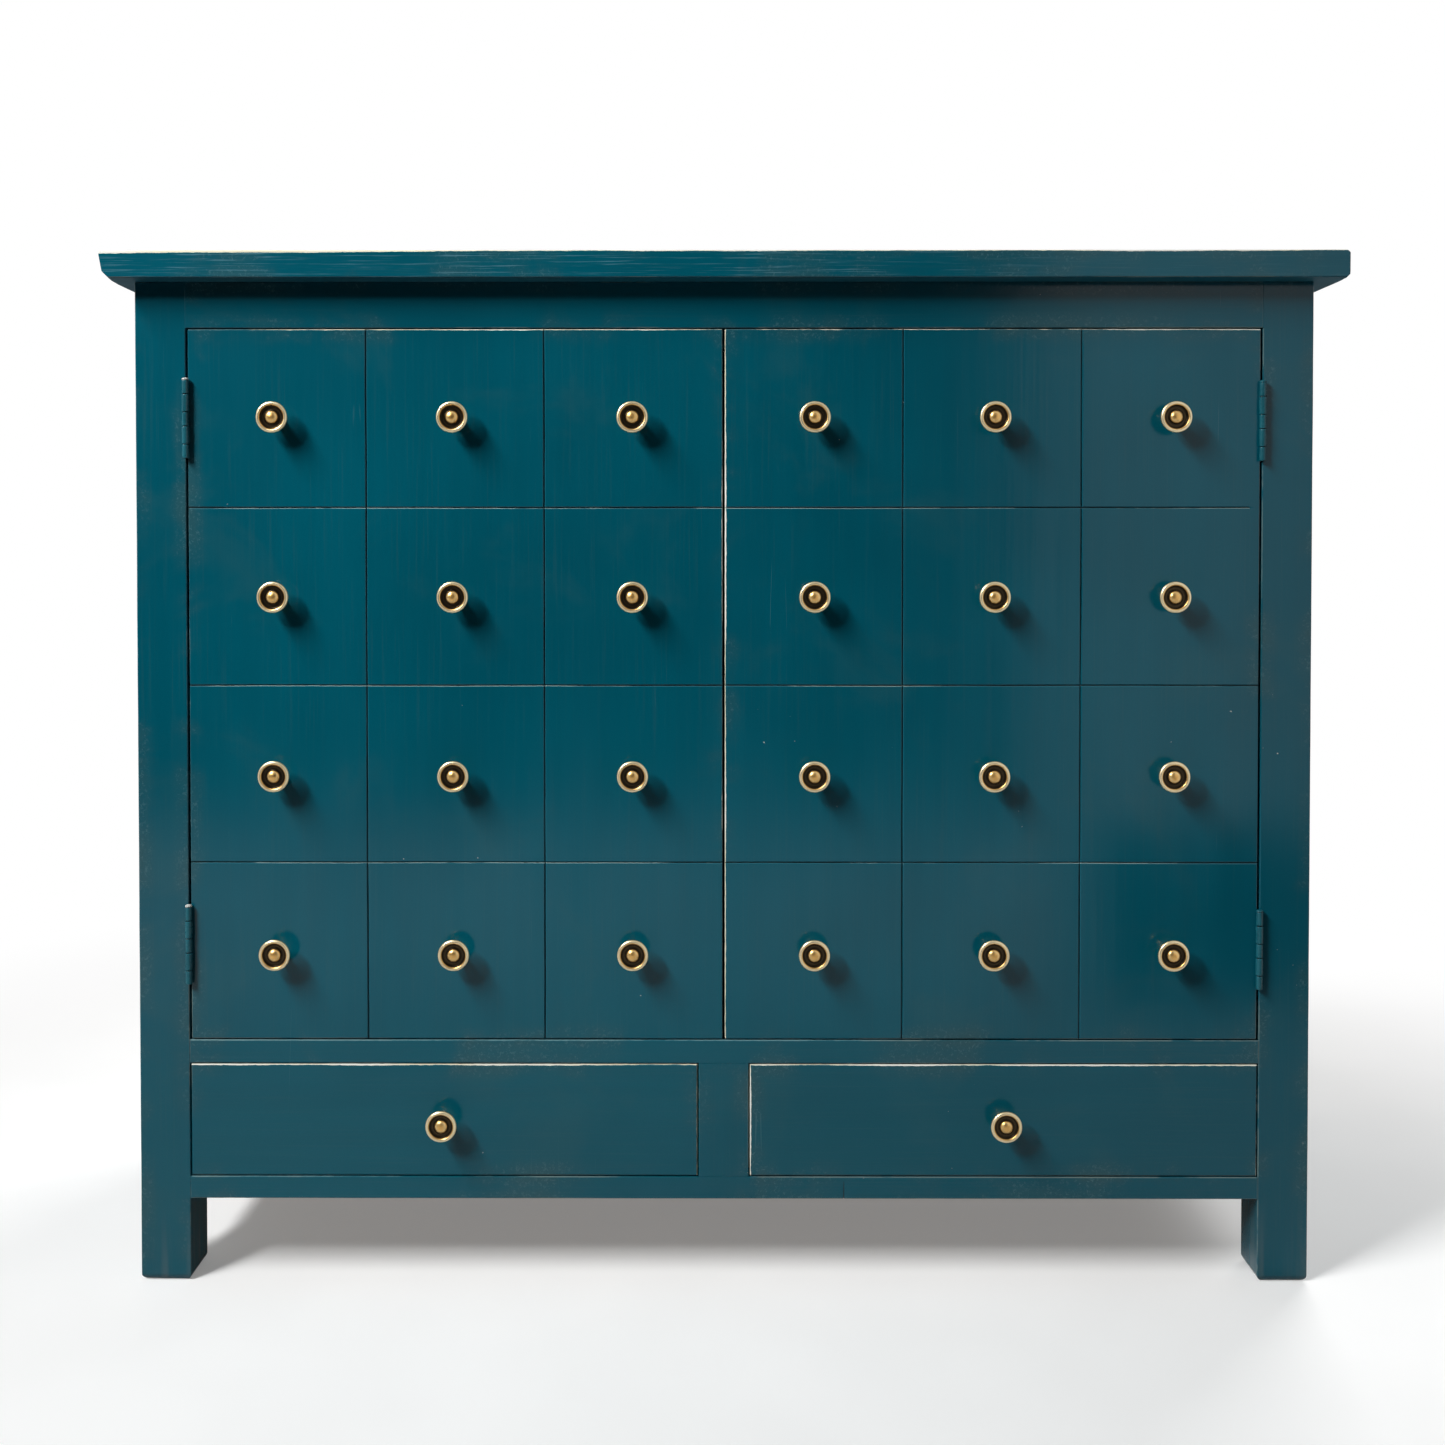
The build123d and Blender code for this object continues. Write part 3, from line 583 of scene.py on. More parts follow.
def add_wood(name, mesh, body, look, nodes):
    """Add a wooden piece whose flat faces stay flat beside their rounded arrises."""
    piece = add_object(name, mesh, body, look, nodes)
    modifier = piece.modifiers.new("even_normals", "WEIGHTED_NORMAL")
    modifier.mode = "FACE_AREA"
    modifier.weight = 80


def painted(name, nodes, boxes, look, wear_and_sheen=NOT_WORN, groove=0.0, body="carcass", seed=None, **options):
    """A painted piece made of one or more blocks, which stands for CAD nodes."""
    seed = seed or 1.0 + len(name)
    parts = []
    for number, (low, high) in enumerate(boxes):
        mesh = block(f"{name}_{number}", low, high, seed=seed + number, **options)
        paint_notes(mesh, low, high, wear_and_sheen, groove)
        parts.append(mesh)
    add_wood(name, joined(name, parts), body, PAINT[look], nodes)


def corners(x, y, z):
    """Lowest and highest corner from (low, high) pairs in millimetres."""
    return [Vector(pair[end] * MM for pair in (x, y, z)) for end in (0, 1)]


# Levels and places, in millimetres. They are the CAD nodes' own, but for the bottom rail's top: it is
# 0.03 mm lower, so that the sliding drawer sides aren't in one plane with it
OUTER, INNER = 526.5, 481.5
FRONT, BACK = -176.5, 193.5
LEG, RAIL, STILE = 45.0, 22.0, 22.5
LEG_TOP = 900.0
RAILS = {"bottom": (75.0, 94.97), "middle": (198.0, 219.0), "top": (859.0, 900.0)}
BETWEEN_RAILS = ((95.0, 198.0), (219.0, 859.0))
SIDE_RAIL, SIDE_PANEL = (501.5, 523.5), (508.5, 516.5)
RAIL_ARRIS = 0.8 * MM

# The top: what is lost at its corners, as lengths along X, Y and Z in millimetres
TOP_LOW, TOP_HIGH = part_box("top_board")
LEFT_LOW, RIGHT_LOW, RIGHT_HIGH = (0, 0, 0), (1, 0, 0), (1, 0, 1)
LOST_CORNERS = (
    (LEFT_LOW, (9.0, 40.0, 9.0)), (LEFT_LOW, (4.4, 160.0, 24.0)),
    (RIGHT_LOW, (3.2, 14.0, 3.2)), (RIGHT_HIGH, (3.0, 12.0, 2.6)),
)


def top_shape(place, key):
    """The top's front-left lower corner and end are worn away, and its right front corners a little."""
    for ends, cut in LOST_CORNERS:
        corner = Vector((TOP_LOW, TOP_HIGH)[end][axis] for axis, end in enumerate(ends))
        inward = Vector((1 - 2 * end) / (cut[axis] * MM) for axis, end in enumerate(ends))
        share = (place - corner).dot(inward)
        if share < 1.0:
            place = place + inward * ((1.0 - share) / inward.length_squared)
    return place


CUT_LINES = (7, 9, 11)
TOP_ACROSS = [TOP_LOW.x + step * MM for step in CUT_LINES] + [TOP_HIGH.x - step * MM for step in (2.2, 3.4)]
TOP_EXTRA = (TOP_ACROSS, (), [TOP_LOW.z + step * MM for step in CUT_LINES])
TOP_WORN = graded((0.3, 0.15, 0.05, 2.8), (0.3, 0.15, 0.05, 1.1), -0.38, -0.20)
TOP_GRID = {"arris": 1.3 * MM, "pitch": 0.016, "extra": TOP_EXTRA, "shape": top_shape, "seed": 3.0}
painted("painted_top", ["top_board"], [(TOP_LOW, TOP_HIGH)], "top", TOP_WORN, **TOP_GRID)


# Legs, rails and panels. An arris is open where it is free; a joint is open by JOINT_OPEN, and blends
# into the free arris over BLEND millimetres
FOOT = 7.0 * MM
AT_ARRIS = 10 * MM
BLEND = 1.5
JOINT_OPEN = {"bottom": 0.30, "middle": 0.55, "top": 0.0}
# Below 0 an edge fades to a pale line, partly a painted highlight; most on the front left leg's left edge
LEG_WEAR_AND_SHEEN = {
    "front_left": (-0.55, 0.05, 0.25, 0.0), "front_right": (-0.15, -0.30, 0.25, 0.0),
    "back_left": (0.05, 0.05, 0.25, 0.0), "back_right": (0.05, 0.05, 0.25, 0.0),
}


def off_span(value, low, high):
    """0 inside a span, and 1 from a little way outside it (millimetres)."""
    return clamped(max(low - value, value - high) / BLEND)


def off_rails(z):
    """1 away from the rails, and at a rail how open its joint with a leg is (z in metres)."""
    return min(max(JOINT_OPEN[level], off_span(z / MM, *span)) for level, span in RAILS.items())


# The legs' grid lines: at their feet, at the ends of their joints, and where those have blended
LEG_LINES = [0.5, 1.2, 2.2, 3.6, 5.2, 7.0, 12.0]
for low, high in RAILS.values():
    LEG_LINES += [low - BLEND, low, high, high + BLEND]
LEG_LINES = [height * MM for height in LEG_LINES if height < LEG_TOP]


def leg(end, side):
    """A leg with a rounded foot, whose inner arris is closed where the front or back rails meet it."""
    low, high = corners(
        (-OUTER, -INNER) if side == "left" else (INNER, OUTER),
        (FRONT, FRONT + LEG) if end == "front" else (BACK - LEG, BACK),
        (0.0, LEG_TOP),
    )
    inner_x = (high if side == "left" else low).x
    face_y = (low if end == "front" else high).y

    def footed(place, key):
        share = max(0.0, 1.0 - place.z / FOOT)
        uneven = 0.85 + 0.3 * wander(*(place * 60), seed=5.0)
        lost = FOOT * (1.0 - math.sqrt(1.0 - 0.96 * share * share)) * uneven
        sides = [min(max(place[axis], low[axis] + lost), high[axis] - lost) for axis in (0, 1)]
        return Vector((*sides, place.z))

    def open_at(sharp):
        jointed = abs(sharp.x - inner_x) < AT_ARRIS and abs(sharp.y - face_y) < AT_ARRIS
        return off_rails(sharp.z) if jointed else 1.0

    which = f"{end}_{side}"
    grid = {"arris": 1.0 * MM, "pitch": 0.02, "extra": ((), (), LEG_LINES), "shape": footed}
    grid |= {"seed": len(f"leg_{which}"), "open_at": open_at}
    painted(f"leg_{which}", [f"{which}_leg"], [(low, high)], "z", LEG_WEAR_AND_SHEEN[which], **grid)


for end in ("front", "back"):
    for side in SIDES:
        leg(end, side)

# Below 0 a faded pale line, partly a painted highlight, which on these rails fades towards the right
RAIL_WEAR_AND_SHEEN = {
    "top": NOT_WORN,
    "middle": graded((0.0, 0.0, 0.0, -0.70), (0.0, 0.0, 0.0, -0.25), 0.06, 0.16),
    "bottom": graded((0.0, 0.0, -0.30, -0.42), (0.0, 0.0, -0.30, -0.15), -0.30, -0.05),
}
STILE_LINES = [step * MM for step in (-STILE - BLEND, -STILE, STILE, STILE + BLEND)]


def rail_open(stile_below, stile_above, middle, joint=0.0):
    """Where a rail's arrises are free: away from the legs, and from the stile above or below it."""

    def open_at(sharp):
        ends = max(joint, min(1.0, (INNER - abs(sharp.x / MM)) / BLEND))
        meets = stile_below and sharp.z < middle or stile_above and sharp.z > middle
        return min(ends, off_span(sharp.x / MM, -STILE, STILE)) if meets else ends

    return open_at


SPLIT_X, SPLIT_TOP, SPLIT_WIDTH, SPLIT_DEPTH = 0.1085, 0.0925, 0.85 * MM, 0.9 * MM
SPLIT_LINES = [0.080, 0.084, 0.088, SPLIT_TOP]


def split_at(place):
    """How deep the split is: 1 along its middle near the lower arris, 0 beside it and above it."""
    if abs(place.x - SPLIT_X) > 0.45 * SPLIT_WIDTH or place.y > (FRONT + 1.5) * MM or place.z > SPLIT_TOP:
        return 0.0
    return min(1.0, 0.45 + (SPLIT_TOP - place.z) / (20 * MM))


def split(place, key):
    """A hairline split that runs up from the bottom rail's lower arris."""
    return place + Vector((0.5 * MM * wander(place.z * 90, seed=2.0), SPLIT_DEPTH, 0)) * split_at(place)


for level, span in RAILS.items():
    middle = (span[0] + span[1]) / 2 * MM
    lines, heights, cracked = STILE_LINES, (), {}
    if level == "bottom":
        lines = STILE_LINES + [SPLIT_X + side * SPLIT_WIDTH for side in (-1, 0, 1)]
        # The split's depth also colours it near-black: dirt and painted shade
        heights, cracked = SPLIT_LINES, {"shape": split, "groove": split_at}
    shared = {"arris": RAIL_ARRIS, "extra": (lines, (), heights)}
    box = corners((-INNER, INNER), (FRONT, FRONT + RAIL), span)
    free = rail_open(level == "middle", level == "bottom", middle, JOINT_OPEN[level])
    front = (f"front_rail_{level}", [f"front_{level}_rail"], [box], "x", RAIL_WEAR_AND_SHEEN[level])
    painted(*front, open_at=free, **shared, **cracked)
    box = corners((-INNER, INNER), (BACK - RAIL, BACK), span)
    free = rail_open(False, False, middle)
    painted(f"back_rail_{level}", [f"back_{level}_rail"], [box], "x", open_at=free, **shared)

box = corners((-STILE, STILE), (FRONT, FRONT + RAIL), BETWEEN_RAILS[0])
# The stile's right edge below 0 is a faded pale line, partly a painted highlight
stile = ("drawer_stile", ["front_center_stile"], [box], "z", (0.0, -0.2, 0.0, 0.0))
painted(*stile, arris=0.7 * MM, open_at=lambda sharp: off_rails(sharp.z))

for side, sign in zip(SIDES, (-1, 1)):
    for what, grain, across, spans, arris in (
        ("rails", "y", SIDE_RAIL, RAILS.values(), RAIL_ARRIS),
        ("panels", "z", SIDE_PANEL, BETWEEN_RAILS, 0.5 * MM),
    ):
        across = sorted(sign * x for x in across)
        boxes = [corners(across, (FRONT + LEG, BACK - LEG), span) for span in spans]
        painted(f"side_{what}_{side}", [f"{side}_side_{what}"], boxes, grain, arris=arris)
painted("stop_rail", ["door_stop_rail"], [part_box("door_stop_rail")], "x", arris=RAIL_ARRIS)


# Back boards: their arrises are rounded, so that the joints between them show
BOARD_ARRIS = 1.4 * MM


def back_boards(level):
    """Upright boards side by side, as wide as the CAD node in all."""
    name, node = f"boards_{level}", f"back_boards_{level}"
    low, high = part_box(node)
    width = (high.x - low.x) / BOARDS
    parts = []
    for number in range(BOARDS):
        first = Vector((low.x + number * width, low.y, low.z))
        last = Vector((first.x + width, high.y, high.z))
        parts.append(block(f"{name}_{number}", first, last, BOARD_ARRIS, 0.06, seed=11.0 + number))
    add_wood(name, joined(name, parts), "carcass", WOOD["boards"], [node])


back_boards("upper")
back_boards("lower")


# Doors: one board each, scored to look like twelve small drawers
SCORE_WIDTH, SCORE_DEPTH = 1.7 * MM, 2.0 * MM
SCORE_LINES = (-0.8, -0.5, -0.25, 0.0, 0.25, 0.5, 0.8)
SCORE_STOP, SCORE_FADE = 8.4 * MM, 1.5 * MM
COLUMNS, ROWS = 3, 4
# Below 0 an edge fades to a pale line, partly a painted highlight
DOOR_WEAR_AND_SHEEN = {"left": (-0.35, 0.36, 0.0, 0.88), "right": (1.12, -0.30, 0.0, 0.58)}
DOOR_SEEDS = {"left": (2.0, 1.0, 4.0), "right": (6.0, 9.0, 12.0)}


def score_at(value, places, other, salt):
    """How deep the nearest score is at a value, and how far the score wanders there."""
    for number, place in enumerate(places):
        apart = abs(value - place)
        if apart < 0.51 * SCORE_WIDTH:
            seed = salt + number * 2.7
            wandered = 0.28 * MM * wander(other * 14, seed=seed) + 0.12 * MM * wander(other * 90, seed=seed)
            share = max(0.0, 1.0 - apart / (0.5 * SCORE_WIDTH))
            return share * (0.82 + 0.30 * wander(other * 35, seed=seed + 1)), wandered
    return 0.0, 0.0


def door(side):
    """A door whose scores wander a little and vary in depth, as scores cut by hand do.

    The right door's highest score stops short of its hinged edge.
    """
    name, node = f"door_{side}", f"{side}_door_panel"
    low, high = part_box(node)
    size = high - low
    seed, upright_salt, level_salt = DOOR_SEEDS[side]
    uprights = [low.x + size.x * step / COLUMNS for step in range(1, COLUMNS)]
    levels = [low.z + size.z * step / ROWS for step in range(1, ROWS)]
    across = [place + share * SCORE_WIDTH for place in uprights for share in SCORE_LINES]
    up = [place + share * SCORE_WIDTH for place in levels for share in SCORE_LINES]
    stop = high.x - SCORE_STOP
    if side == "right":
        across += [stop - SCORE_FADE, stop]
    depths = []

    def scored(place, key):
        depth = 0.0
        if key[1] == 0:
            upright, shift_x = score_at(place.x, uprights, place.z, upright_salt)
            level, shift_z = score_at(place.z, levels, place.x, level_salt)
            if side == "right" and place.z > levels[-1] - 5 * MM:
                level *= clamped((stop - place.x) / SCORE_FADE)
            depth = max(upright, level)
            place = place + Vector((shift_x, depth * SCORE_DEPTH, shift_z))
        depths.append(min(1.0, depth))
        return place

    grid = {"pitch": 0.02, "extra": (across, (), up), "shape": scored, "seed": seed}
    painted(name, [node], [(low, high)], "z", DOOR_WEAR_AND_SHEEN[side], depths, f"{side}_door", **grid)


# Drawer fronts
SAME_PLACE = 2e-6
DRAWER_WORN = {"left": (0.12, 0.86, 0.0, 1.05), "right": (0.95, 0.28, 0.0, 0.95)}


def bevel(work, edges, width):
    bmesh.ops.bevel(
        work, geom=edges, offset=width, segments=2, profile=0.5, affect="EDGES", clamp_overlap=True
    )


def drawer_front(side):
    """The CAD's drawer front with its joints, but with split faces joined and sharp edges rounded."""
    name, node = f"drawer_front_{side}", f"{side}_drawer_front"
    work = bmesh.new()
    work.from_mesh(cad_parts[node].data)
    bmesh.ops.remove_doubles(work, verts=work.verts, dist=SAME_PLACE)
    bmesh.ops.dissolve_limit(work, angle_limit=math.radians(0.5), verts=work.verts, edges=work.edges)
    solid = [edge for edge in work.edges if edge.is_manifold]
    bevel(work, [edge for edge in solid if edge.calc_face_angle() > math.radians(20)], 0.35 * MM)
    mesh = mesh_from(work, name)
    attribute(mesh, "open", "FLOAT", 1.0)
    paint_notes(mesh, *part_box(node), DRAWER_WORN[side])
    add_wood(name, mesh, f"{side}_drawer", PAINT["x"], [node])


for make in (door, drawer_front):
    for side in SIDES:
        make(side)


# Turned pieces, as outlines of (radius, height, grime) in millimetres; on hinges grime also paints highlight
# and shade
KNOB_SIDES, HEAD_SIDES, BARREL_SIDES = 48, 24, 32


def lathe(name, outline, sides, placing=Matrix()):
    """A closed turned mesh about +Z from an outline, foot to crown."""
    work = bmesh.new()
    layer = work.verts.layers.float.new("grime_and_shading")
    rings = []
    for radius, height, grime_and_shading in outline:
        ring = []
        for index in range(sides if radius > 0 else 1):
            angle = 2 * math.pi * index / sides
            place = Vector((radius * math.cos(angle), radius * math.sin(angle), height)) * MM
            vertex = work.verts.new(placing @ place)
            vertex[layer] = grime_and_shading
            ring.append(vertex)
        rings.append(ring)
    for lower, upper in zip(rings, rings[1:]):
        for index in range(sides):
            after = (index + 1) % sides
            pairs = ((lower, index), (lower, after), (upper, after), (upper, index))
            work.faces.new(dict.fromkeys(ring[place % len(ring)] for ring, place in pairs))
    bmesh.ops.recalc_face_normals(work, faces=work.faces)
    return mesh_from(work, name)


def knob_outline():
    """Foot, neck, trumpet, rolled rim, channel and domed boss of a knob."""
    points = [(0.0, 0.0, 0.5), (6.5, 0.0, 0.5), (6.9, 0.25, 0.4), (7.0, 0.8, 0.1), (6.9, 1.4, 0.1)]
    points += [(6.5, 1.9, 0.2), (5.7, 2.2, 0.45), (5.0, 2.8, 0.4), (4.6, 4.0, 0.2), (4.5, 5.5, 0.15)]
    points += [(4.6, 7.0, 0.15), (5.1, 8.6, 0.2), (6.1, 10.4, 0.2), (7.7, 12.2, 0.2), (9.7, 13.8, 0.2)]
    points += [(11.6, 15.0, 0.25), (12.7, 15.5, 0.3)]
    for step, grime_and_shading in enumerate((0.08, 0.08, 0.07, 0.05, 0.02, 0.0, 0.0, 0.04, 0.26, 0.52, 0.76)):
        angle = math.radians(-45 + step * 22)
        points.append((12.1 + 1.9 * math.cos(angle), 16.9 + 1.9 * math.sin(angle), grime_and_shading))
    points += [(10.05, 16.35, 0.9), (9.6, 16.0, 1.0), (8.8, 15.85, 0.82), (7.8, 15.85, 0.74)]
    points += [(7.0, 15.85, 0.95), (6.2, 15.95, 1.0), (5.95, 16.2, 0.9)]
    for step, grime_and_shading in enumerate((0.5, 0.30, 0.16, 0.12, 0.12, 0.14, 0.16, 0.17), 1):
        angle = math.radians(step * 90 / 9)
        points.append((5.9 * math.cos(angle), 16.4 + 3.6 * math.sin(angle), grime_and_shading))
    points.append((0.0, 20.0, 0.17))
    return points


KNOB = knob_outline()


def standing_out(x, y, z, degrees):
    """A placing of what is drawn about +Z: out from the front at 90 degrees, into the cabinet at -90."""
    return Matrix.Translation((x, y, z)) @ Matrix.Rotation(math.radians(degrees), 4, "X")


def knobs(name, node, body, places):
    """Knobs in a row or field, each turned a little on its screw."""
    parts = []
    for number, (x, z) in enumerate(places):
        spin = Matrix.Rotation(1.7 * number, 4, "Z")
        parts.append(lathe(f"{name}_{number}", KNOB, KNOB_SIDES, standing_out(x, FRONT * MM, z, 90) @ spin))
    add_object(name, joined(name, parts), body, BRASS, [node])


def slotted(name, outline, slot_width, slot_depth):
    """A turned screw head about +Z with a slot cut across its crown."""
    head = lathe(name, outline, HEAD_SIDES)
    crown = max(point[1] for point in outline)
    widest = max(point[0] for point in outline)
    work = bmesh.new()
    size = (2.4 * widest * MM, slot_width * MM, 2 * slot_depth * MM)
    placing = Matrix.Translation((0, 0, crown * MM)) @ Matrix.Diagonal((*size, 1.0))
    bmesh.ops.create_cube(work, size=1.0, matrix=placing)
    holder = new_object("holder", head)
    tool = new_object("tool", mesh_from(work, "cutter", smooth=False))
    cut = holder.modifiers.new("slot", "BOOLEAN")
    cut.object, cut.operation, cut.solver = tool, "DIFFERENCE", "EXACT"
    shaped = bpy.data.meshes.new_from_object(holder.evaluated_get(bpy.context.evaluated_depsgraph_get()))
    for item in (holder, tool):
        bpy.data.objects.remove(item)
    return shaped


PAN_HEAD = [(0.0, -0.4, 0), (1.9, -0.4, 0), (2.0, 0.0, 0), (3.9, 0.0, 0), (4.0, 0.3, 0), (3.8, 1.0, 0)]
PAN_HEAD += [(3.1, 1.7, 0), (2.0, 2.2, 0), (1.0, 2.37, 0), (0.0, 2.4, 0)]
FLAT_HEAD = [(0.0, -2.6, 0), (1.1, -2.4, 0), (1.4, -1.4, 0), (2.7, -0.15, 0), (2.78, -0.03, 0)]
FLAT_HEAD += [(2.6, 0.0, 0), (0.0, 0.0, 0)]
PAN_SCREW = slotted("pan_screw", PAN_HEAD, 1.0, 1.1)
FLAT_SCREW = slotted("flat_screw", FLAT_HEAD, 0.8, 0.7)


def screws(name, node, body, pattern, placings):
    """Copies of one screw, each with its slot at its own angle."""
    parts = []
    for number, placing in enumerate(placings):
        part = pattern.copy()
        part.transform(placing @ Matrix.Rotation(2.4 * number + len(name), 4, "Z"))
        parts.append(part)
    mesh = joined(name, parts)
    mesh.set_sharp_from_angle(angle=math.radians(35))
    add_object(name, mesh, body, STEEL, [node])


KNOBBED = (("door", "panel", COLUMNS, ROWS, "s"), ("drawer", "front", 1, 1, ""))
for side in SIDES:
    for what, board, columns, rows, s in KNOBBED:
        body = f"{side}_{what}"
        low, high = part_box(f"{body}_{board}")
        size = high - low
        across = [low.x + size.x * (column + 0.5) / columns for column in range(columns)]
        up = [low.z + size.z * (row + 0.5) / rows for row in range(rows)]
        field = [(x, z) for z in up for x in across]
        knobs(f"knob{s}_{what}_{side}", f"{body}_knob{s}", body, field)
        placings = [standing_out(x, high.y, z, -90) for x, z in field]
        screws(f"knob_screw{s}_{what}_{side}", f"{body}_knob_screw{s}", body, PAN_SCREW, placings)


# Hinges, in millimetres: a leaf is drawn beside its pin, with its edge towards the back
HINGE = 70.0
BARREL = 3.2
PIN_X, PIN_Y = 480.5, -180.0
FRAME_KNUCKLE, KNUCKLE_GAP = 12.5, 0.2
LEAF_NEAR, LEAF_FAR = 0.3, 1.7
LEAF_START = BARREL + 0.3
LEAF_END = LEAF_START + 18.0
LEAF_CORNER, LEAF_ARRIS = 1.2, 0.18
LEAF_SCREWS, LEAF_SCREW_INSET = (-24.0, 0.0, 24.0), 10.0
# A knuckle's end, as (radius beyond the barrel, distance from the end, grime), and a pin's head. A grime
# below 0 is painted shade in a joint's gap, and the pin's bared top is partly a painted highlight
KNUCKLE_END = [(-0.75, 0.03, -1.0), (-0.3, 0.22, -0.6), (-0.07, 0.55, 0.45), (0.0, 0.95, 0.15)]
KNUCKLE_END += [(0.0, 2.2, 0.0)]
PIN_HEAD = [(0.0, -0.2, 1.0), (2.6, -0.2, 1.0), (3.0, 0.0, 0.9), (3.2, 0.35, 0.95), (3.1, 0.95, 1.0)]
PIN_HEAD += [(2.6, 1.55, 1.0), (1.8, 1.95, 1.0), (0.9, 2.15, 1.0), (0.0, 2.2, 1.0)]
# Pin heads' pale tops: bared iron and partly a painted highlight, paler on the left
PIN_BARE_AND_HIGHLIGHT = {"left": 1.0, "right": 0.3}


def knuckle_spans():
    """The five knuckles' lower and upper ends: every other one is the frame leaf's."""
    door_knuckle = (HINGE - 3 * FRAME_KNUCKLE - 4 * KNUCKLE_GAP) / 2
    spans, low = [], -HINGE / 2
    for index in range(5):
        length = door_knuckle if index % 2 else FRAME_KNUCKLE
        spans.append((low, low + length))
        low += length + KNUCKLE_GAP
    return spans


def leaf(name, node, body, spans, placing, mirror):
    """A leaf: a comb-edged plate whose teeth are rolled into knuckles about the pin."""
    half = HINGE / 2
    for_door = len(spans) == 2
    teeth = []
    for low, high in reversed(spans):
        teeth += [(LEAF_START, high), (0.0, high), (0.0, low), (LEAF_START, low)]
    if for_door:
        teeth = [(LEAF_START, half), *teeth, (LEAF_START, -half)]
    outline = [(LEAF_END, -half + LEAF_CORNER), (LEAF_END, half - LEAF_CORNER)]
    outline += [(LEAF_END - LEAF_CORNER, half), *teeth, (LEAF_END - LEAF_CORNER, -half)]
    work = bmesh.new()
    near = work.faces.new([work.verts.new((LEAF_NEAR * MM, y * MM, z * MM)) for y, z in outline])
    grown = bmesh.ops.extrude_face_region(work, geom=[near])
    moved = [item for item in grown["geom"] if isinstance(item, bmesh.types.BMVert)]
    bmesh.ops.translate(work, verts=moved, vec=((LEAF_FAR - LEAF_NEAR) * MM, 0, 0))
    bmesh.ops.recalc_face_normals(work, faces=work.faces)
    bevel(work, list(work.edges), LEAF_ARRIS * MM)
    work.verts.layers.float.new("grime_and_shading")
    parts = [mesh_from(work, name + "_plate")]
    outside = BARREL if for_door else BARREL - 0.25
    for low, high in spans:
        # A knuckle's ends carry painted shade for the joint's gap
        ring = [(0.0, low, -1.0), (2.0, low, -1.0)]
        ring += [(outside + beyond, low + step, grime_and_shading) for beyond, step, grime_and_shading in KNUCKLE_END]
        ring += [(radius, low + high - height, grime_and_shading) for radius, height, grime_and_shading in reversed(ring)]
        parts.append(lathe(name + "_knuckle", ring, BARREL_SIDES))
    mesh = joined(name, parts)
    if mirror:
        mesh.transform(Matrix.Diagonal((-1.0, 1.0, 1.0, 1.0)))
        mesh.flip_normals()
    mesh.transform(placing)
    add_object(name, mesh, body, HINGE_PAINT, [node])


SPANS = knuckle_spans()
pins, frame_screw_places = [], []
for side, sign in zip(SIDES, (-1, 1)):
    door_screw_places = []
    outline = [(radius, height, PIN_BARE_AND_HIGHLIGHT[side] * grime_and_shading) for radius, height, grime_and_shading in PIN_HEAD]
    for level in ("upper", "lower"):
        node = f"{side}_door_{level}_hinge_leaf"
        low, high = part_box(node)
        placing = Matrix.Translation((sign * PIN_X * MM, PIN_Y * MM, (low.z + high.z) / 2))
        leaf(f"hinge_door_leaf_{side}_{level}", node, f"{side}_door", SPANS[1::2], placing, sign > 0)
        node = f"{side}_{level}_hinge_frame_leaf"
        leaf(f"hinge_frame_leaf_{side}_{level}", node, "carcass", SPANS[0::2], placing, sign < 0)
        crown = placing @ Matrix.Translation((0, 0, HINGE / 2 * MM))
        pins.append(lathe("pin_head", outline, BARREL_SIDES, crown))
        for height in LEAF_SCREWS:
            y = LEAF_START + LEAF_SCREW_INSET
            for turn, places in ((-sign, door_screw_places), (sign, frame_screw_places)):
                spot = placing @ Vector((turn * LEAF_NEAR * MM, y * MM, height * MM))
                places.append(Matrix.Translation(spot) @ Matrix.Rotation(math.radians(-90 * turn), 4, "Y"))
    name, node = f"hinge_screws_door_{side}", f"{side}_door_hinge_screws"
    screws(name, node, f"{side}_door", FLAT_SCREW, door_screw_places)
screws("hinge_screws_frame", "frame_hinge_screws", "carcass", FLAT_SCREW, frame_screw_places)
pin_mesh = joined("hinge_pin_heads", pins)
add_object("hinge_pin_heads", pin_mesh, "carcass", HINGE_PAINT, ["hinge_pins"])


# CAD nodes that stay, with their materials and with softened edges
KEPT = {
    "x": ["cabinet_floor", "drawer_floor", "drawer_stops", "shelf"],
    "y": ["drawer_guides", "shelf_cleats"],
}
for side in SIDES:
    KEPT["x"] += [f"{side}_drawer_back", f"{side}_drawer_bottom"]
    KEPT["y"] += [f"{side}_drawer_left_side", f"{side}_drawer_right_side"]
METAL = ["door_catches", "left_door_strike_plate", "right_door_strike_plate"]


def soften(node, look, width):
    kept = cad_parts[node]
    kept.data.materials.clear()
    kept.data.materials.append(look)
    kept.modifiers.new("weld", "WELD").merge_threshold = SAME_PLACE
    softened = kept.modifiers.new("soften", "BEVEL")
    softened.width = width
    softened.segments = 2
    softened.limit_method = "ANGLE"
    softened.angle_limit = math.radians(30)


for grain, nodes in KEPT.items():
    for node in nodes:
        soften(node, WOOD[grain], 0.5 * MM)
for node in METAL:
    soften(node, STEEL, 0.25 * MM)


# Floor, flag, lamps, world and camera
WHITE = (1, 1, 1, 1)
FLOOR_CORNERS = [(-9, -9, 0), (9, -9, 0), (9, 9, 0), (-9, 9, 0)]
FLOOR_PALE, FLOOR_MOTTLE = (0.79, 0.79, 0.785), (0.82, 0.82, 0.815)
FLOOR_BOUNCE = (0.22, 0.22, 0.22)
FLAG_BLACK = (0.03, 0.03, 0.03, 1)
WORLD_LIGHT = 0.17


